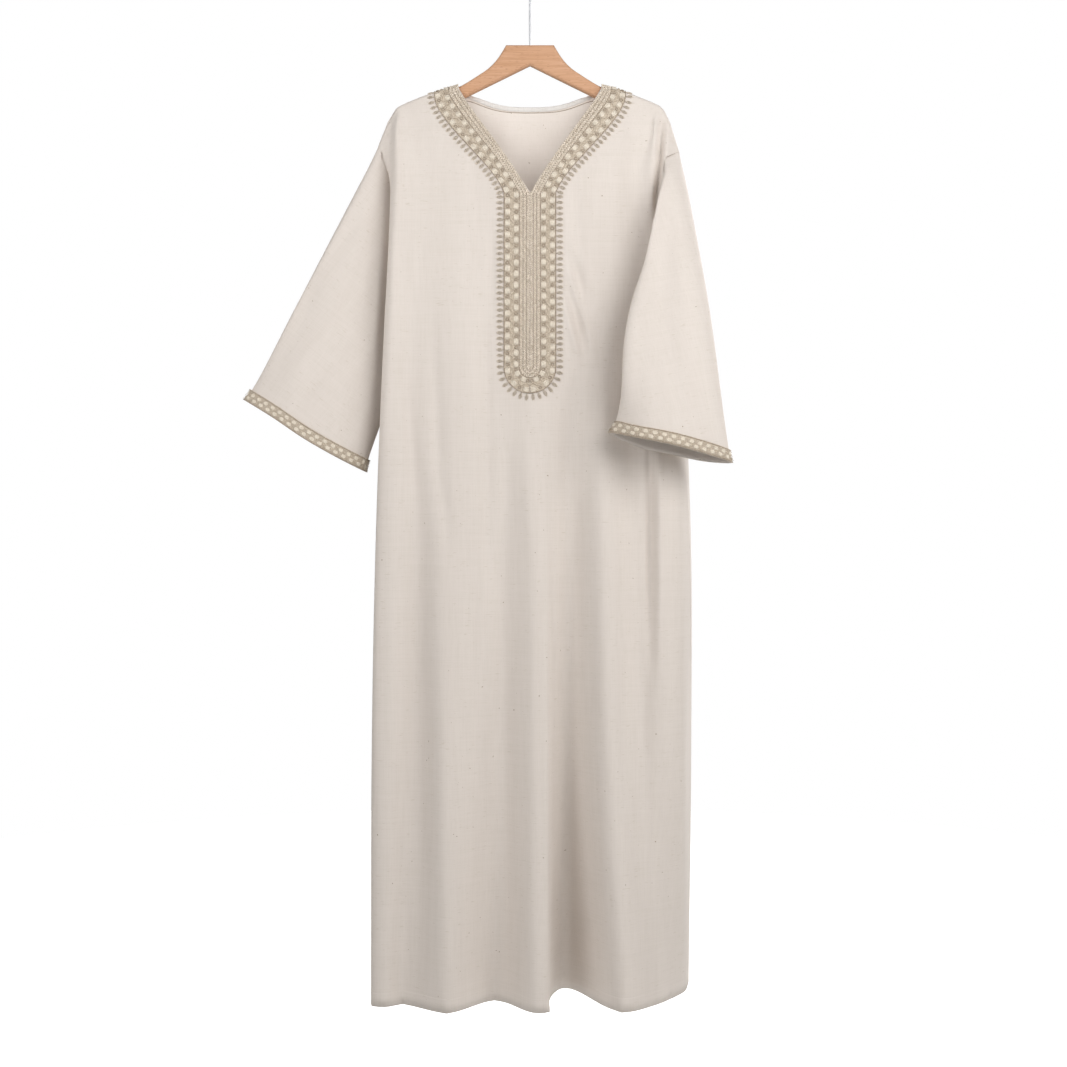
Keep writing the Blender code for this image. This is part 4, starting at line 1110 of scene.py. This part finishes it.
def braid(place, inset):
    """Herringbone stitches down both sides of a line."""
    for line_spot in spots(place, NECK_END, inset, BRAID_PITCH):
        _, along, outward, normal = line_spot
        for side in (-1, 1):
            lean = along * math.cos(BRAID_LEAN) + outward * side * math.sin(BRAID_LEAN)
            forward = BRAID_PITCH / 4 * side
            middle = beside(line_spot, forward, BRAID_ASIDE * side, GROUND_TOP + BRAID_LIFT)
            yield middle, lean, normal, *BRAID_STITCH


braids, satin, knotted, rings, outlines = ([] for _ in range(5))
for place in neck_maps.values():
    for inset in BRAID_INSETS:
        braids += braid(place, inset)
    for inset in DARK_LINES:
        line = line_points(place, NECK_END, inset, LINE_STEP, GROUND_TOP + LINE_LIFT)
        outlines.append((line, False))
    worked = star_rows(place, NECK_END, NECK_STARS, GROUND_TOP)
    for made, more in zip((satin, knotted, rings), worked):
        made += more
print("braid stitches", len(braids), "satin stitches", len(satin), "rings", len(rings))

# %% Wind a cord between the stars, and loop the fringe
WAVE_SWAY = 2.8
# The cord leans away from each star of the outer row.
WAVE_SHIFT = 0.75
WAVE_CORD_MM = 1.5
WAVE_STEP = 1.7
WAVE_LIFT = 0.5
LOOP_INSET = 11.2
LOOP_PITCH = 8.5
LOOP_MIDDLE = 5.4
LOOP_RADIUS = 1.9
LOOP_STRETCH = 1.9
LOOP_SIDES = 10
LOOP_LIFT = 0.6
STEM_END = LOOP_MIDDLE - LOOP_RADIUS * LOOP_STRETCH
FRINGE_CORD_MM = 1.5
TIP_ASIDE = 9.2
TIP_LIFT = 0.7
FRINGE_TIP = (3.2, 1.8, 1.6)
FRINGE_BAR = (5.4, 1.5, 1.3)


def winding(place):
    """The points of the cord that winds between the two rows of stars."""
    inset = NECK_STARS["guide"]
    waves = round(float(track(place, NECK_END, inset)[1][-1]) / NECK_STARS["pitch"])

    def sway(share):
        return -WAVE_SWAY * math.cos(2 * math.pi * (share * waves - WAVE_SHIFT))

    return line_points(place, NECK_END, inset, WAVE_STEP, GROUND_TOP + WAVE_LIFT, sway)


windings, loops, tips, bars = ([] for _ in range(4))
for place in neck_maps.values():
    windings.append((winding(place), False))
    for foot in spots(place, NECK_END, LOOP_INSET, LOOP_PITCH):
        _, along, outward, normal = foot
        loop = ring_points(foot, LOOP_RADIUS, LOOP_LIFT, LOOP_SIDES, LOOP_MIDDLE, LOOP_STRETCH)
        stem = [beside(foot, 0.0, aside, LOOP_LIFT) for aside in (0.0, STEM_END)]
        loops += [(loop, True), (stem, False)]
        tips.append((beside(foot, 0.0, TIP_ASIDE, TIP_LIFT), along, normal, *FRINGE_TIP))
        bars.append((beside(foot, 0.0, LOOP_MIDDLE, LOOP_LIFT), outward, normal, *FRINGE_BAR))
print("points of a winding cord", len(windings[0][0]), "loops", len(bars))

# %% Make the neck's threads
neck_threads = [
    thread_piece("neck_braids", stitch_mesh(braids), sand_cord),
    thread_piece("neck_stars", stitch_mesh(satin), cream_rayon),
    thread_piece("neck_knots", stitch_mesh(knotted + tips), tan_cord),
    thread_piece("neck_winding", cord_mesh(windings, WAVE_CORD_MM), tan_cord),
    thread_piece("neck_rings", cord_mesh(rings, RING_CORD_MM), dark_cord),
    thread_piece("neck_outlines", cord_mesh(outlines, DARK_CORD_MM), dark_cord),
    thread_piece("neck_fringe", cord_mesh(loops, FRINGE_CORD_MM), loop_cord),
    thread_piece("neck_fringe_bars", stitch_mesh(bars), loop_cord),
]

# %% [markdown]
# ## The cuff bands
#
# Each cuff has a narrow band of the same stars, sewn on round the opening. The solid of the band is a
# ring wall with four edges. Walking along its outer lower edge, and across to the upper one, gives a
# map like the neck band's, on which the same functions work.

# %% Find a cuff band's edges
def walk_round(edges):
    """The closed rings of points that a set of edges makes."""
    left = set(edges)
    rings = []
    while left:
        edge = min(left, key=lambda edge: edge.index)
        ring = [edge.verts[0]]
        while edge:
            left.discard(edge)
            ring.append(edge.other_vert(ring[-1]))
            edge = next((onward for onward in ring[-1].link_edges if onward in left), None)
        rings.append(ring[:-1])
    return rings


def cuff_edges(node):
    """Points round the outer lower edge of a cuff band and across from them, and the way out."""
    bm = merged_copy(node)
    thin = {edge for edge in bm.edges if edge.calc_length() < RIM_WIDTH}
    around = set()
    for face in bm.faces:
        if sum(edge in thin for edge in face.edges) == 2:
            around.update(edge for edge in face.edges if edge not in thin)
    rings = sorted(walk_round(around), key=lambda ring: sum(vert.co.z for vert in ring) / len(ring))
    outer = max(rings[:2], key=lambda ring: sum((a.co - b.co).length for a, b in zip(ring, ring[1:])))
    lower = [vert.co.copy() for vert in outer]
    upper = []
    outs = []
    for vert in outer:
        across = [edge for edge in vert.link_edges if edge not in thin and edge not in around]
        partner = [edge for edge in vert.link_edges if edge in thin]
        upper.append(across[0].other_vert(vert).co.copy())
        outs.append((vert.co - partner[0].other_vert(vert).co).normalized())
    bm.free()
    return lower, upper, outs


print("points round the right cuff:", len(cuff_edges("cuff_trim_right")[0]))

# %% Map a cuff band
CUFF_WIDTH = 19.0
PROBE_MM = 1.5


def round_curve(points, t):
    """The point at t of a smooth closed curve through the points."""
    count = len(points)
    k = int(math.floor(t))
    u = t - k
    a, b, c, d = (points[(k + step) % count] for step in (-1, 0, 1, 2))
    return (
        b * 2 + (c - a) * u + (a * 2 - b * 5 + c * 4 - d) * u ** 2 + (b * 3 - a - c * 3 + d) * u ** 3
    ) / 2


def cuff_map(edges, band_tree):
    """The function that finds a place on a cuff band. inset counts up from its lower edge."""
    lower, upper, outs = edges

    def place(t, inset):
        foot = round_curve(lower, t)
        head = round_curve(upper, t)
        out = round_curve(outs, t).normalized()
        point = foot.lerp(head, inset / CUFF_WIDTH) + out * PROBE_MM * MM
        hit, normal, _, _ = band_tree.find_nearest(point)
        if normal.dot(out) < 0:
            normal = out
        return hit, normal

    return place


print("cuff bands are", CUFF_WIDTH, "mm wide")

# %% Make the cuff bands and their threads
CUFF_LEVELS = 2
CUFF_LINES = (1.2, 17.6)
CUFF_LINE_LIFT = 0.3
CUFF_RING_CORD_MM = 1.1

cuff_threads = {}
cuff_bands = {}
for side, node in (("right", "cuff_trim_right"), ("left", "cuff_trim_left")):
    bm = merged_copy(node)
    crease_rims(bm)
    cuff_bands[side] = thread_piece(side + "_cuff_band", subdivided(bm, CUFF_LEVELS), ground)
    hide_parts(node)
    edges = cuff_edges(node)
    end = float(len(edges[0]))
    place = cuff_map(edges, tree_of(cuff_bands[side]))
    satin, knotted, rings = star_rows(place, end, CUFF_STARS, 0.0)
    outlines = [
        (line_points(place, end, inset, LINE_STEP, CUFF_LINE_LIFT, closed=True), True)
        for inset in CUFF_LINES
    ]
    cuff_threads[side] = [
        thread_piece(side + "_cuff_stars", stitch_mesh(satin), cream_rayon),
        thread_piece(side + "_cuff_knots", stitch_mesh(knotted), tan_cord),
        thread_piece(side + "_cuff_rings", cord_mesh(rings, CUFF_RING_CORD_MM), tan_cord),
        thread_piece(side + "_cuff_outlines", cord_mesh(outlines, DARK_CORD_MM), dark_cord),
    ]
    print(side, "cuff:", len(edges[0]), "steps round,", len(rings), "rings")

# %% [markdown]
# ## The bound back of the neck
#
# A narrow tape is folded over the raw edge of the back neckline and stitched down. It is woven like
# the cloth but paler, so it gets that material in paler tones. Its solid ends short of the neck band,
# so the same strip is drawn out to reach it. The neckline is measured from the panel's own rim, and a
# polynomial through those points gives the edge's height and slope anywhere.

# %% Follow the edge of the back neckline
NECKLINE_FOOT_Z = -0.30
EDGE_DEGREE = 6
BOUND_FROM = 0.040
BOUND_STRETCH = 1.42
RIM_CLEAR = 1.0 * MM

bm = merged_copy("back_panel")
neckline = np.array([vert.co.copy() for face in rim_faces(bm) for vert in face.verts])
bm.free()
on_neck = (np.abs(neckline[:, 0]) < NECKLINE_HALF) & (neckline[:, 2] > NECKLINE_FOOT_Z)
neckline = neckline[on_neck]
edge_z = np.poly1d(np.polyfit(neckline[:, 0], neckline[:, 2], EDGE_DEGREE))
edge_slope = edge_z.deriv()
back_tree = tree_of(cloth["back_cloth"])


def beside_edge(foot, above):
    """The x and z of a place square to the edge at x = foot, that far above it."""
    angle = math.atan(edge_slope(foot))
    return foot - above * math.sin(angle), edge_z(foot) + above * math.cos(angle)


def cloth_depth(foot, above):
    """The y of the back cloth's inner face at such a place, or just below the edge."""
    x, z = beside_edge(foot, min(above, -RIM_CLEAR))
    return back_tree.ray_cast(Vector((x, -RAY_START, z)), Vector((0, 1, 0)))[0].y


def reached(x):
    """Where a place on the solid's binding goes, so that both ends reach the neck band."""
    return x + math.copysign(max(abs(x) - BOUND_FROM, 0) * (BOUND_STRETCH - 1), x)


misfit = np.abs(edge_z(neckline[:, 0]) - neckline[:, 2]).max() / MM
print("neckline points", len(neckline), "worst fit", round(float(misfit), 2), "mm")

# %% Bind the back of the neck
BINDING_LEVELS = 1
BINDING_TONES = ("D3CEC9", "DAD6D1", "DFDBD7")
# The drawn-out ends are puffed up a little, so that they don't sink into the cloth.
PUFF_MM = 0.5
PUFF_FROM = 0.055
PUFF_REACH = 0.025

binding_cloth = woven_cloth("neck binding tape", 0.0, False, BINDING_TONES)
binding_mesh = subdivided(merged_copy("back_neck_binding"), BINDING_LEVELS)
for vert in binding_mesh.vertices:
    x, y, z = vert.co
    slope = edge_slope(x)
    foot = x + (z - edge_z(x)) * slope / (1 + slope ** 2)
    above = math.copysign(math.hypot(x - foot, z - edge_z(foot)), z - edge_z(foot))
    new_x, new_z = beside_edge(reached(foot), above)
    back = cloth_depth(reached(foot), above) - cloth_depth(foot, above)
    vert.co = (new_x, y + back, new_z)
binding_mesh.update()
for vert in binding_mesh.vertices:
    vert.co += vert.normal * PUFF_MM * MM * min(max((abs(vert.co.x) - PUFF_FROM) / PUFF_REACH, 0), 1)
binding_mesh.update()
binding = new_piece("neck_binding", binding_mesh, binding_cloth)
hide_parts("back_neck_binding")

# %% Stitch the binding down along its lower edge, with a dark cord that also paints the tape's shade
SEAM_AND_SHADE_COLUMNS = 48
SEAM_AND_SHADE_DROP = 0.6
SEAM_AND_SHADE_CORD_MM = 1.1
BINDING_DROP_MM = 7.0
# The middle of the seam's cord lies a quarter of its thickness above the cloth.
SEAM_AND_SHADE_PART = 4

# The cord is the tape's stitching and also painted shade: it is dark where the tape's lower edge shades
# the cloth.
seam_and_shade = []
seam_and_shade_end = max(vert.co.x for vert in binding.data.vertices)
for x in np.linspace(-seam_and_shade_end, seam_and_shade_end, SEAM_AND_SHADE_COLUMNS):
    square = Vector((edge_slope(x), 0, -1)).normalized()
    start = Vector((x, 0, edge_z(x))) + square * (BINDING_DROP_MM + SEAM_AND_SHADE_DROP) * MM
    hit, normal, _, _ = back_tree.ray_cast(start, Vector((0, 1, 0)))
    if hit is not None:
        seam_and_shade.append(hit + normal * SEAM_AND_SHADE_CORD_MM / SEAM_AND_SHADE_PART * MM)
seam_and_shade_mesh = cord_mesh([(seam_and_shade, False)], SEAM_AND_SHADE_CORD_MM)
binding_seam_and_shade = new_piece("neck_binding_seam_and_shade", seam_and_shade_mesh, dark_cord)
print("binding seam through", len(seam_and_shade), "points")

# %% [markdown]
# ## The cut of the cloth
# A table gives how large each sheet was cut before it was hung, for a later user who lets the cloth
# move, and another lists the pieces sewn on it. The sizes were measured along the folds of the
# solids' walls, and a sleeve's is all round its tube.

CUT = {
    "front_cloth": (0.80, 1.41, 0.78),
    "back_cloth": (0.82, 1.43, 0.80),
    "right_sleeve_cloth": (0.46, 0.36, 0.14),
    "left_sleeve_cloth": (0.46, 0.36, 0.13),
}
SEWN_ON = {
    "front_cloth": [neck_band, *neck_threads],
    "back_cloth": [binding, binding_seam_and_shade],
    "right_sleeve_cloth": [cuff_bands["right"], *cuff_threads["right"]],
    "left_sleeve_cloth": [cuff_bands["left"], *cuff_threads["left"]],
}
for name, (width, length, area) in CUT.items():
    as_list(SEWN_ON[name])
    print(name, "is cut", width, "by", length, "m and has", len(SEWN_ON[name]), "pieces sewn on")

# %% [markdown]
# ## The size of the dressed robe
#
# The dressed robe has to keep the size of the solids, so the box before and the box after are written
# down.

# %% Write the box after dressing
visual_box = [list(corner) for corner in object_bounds()]
print("visual box", [[round(v, 3) for v in corner] for corner in visual_box])
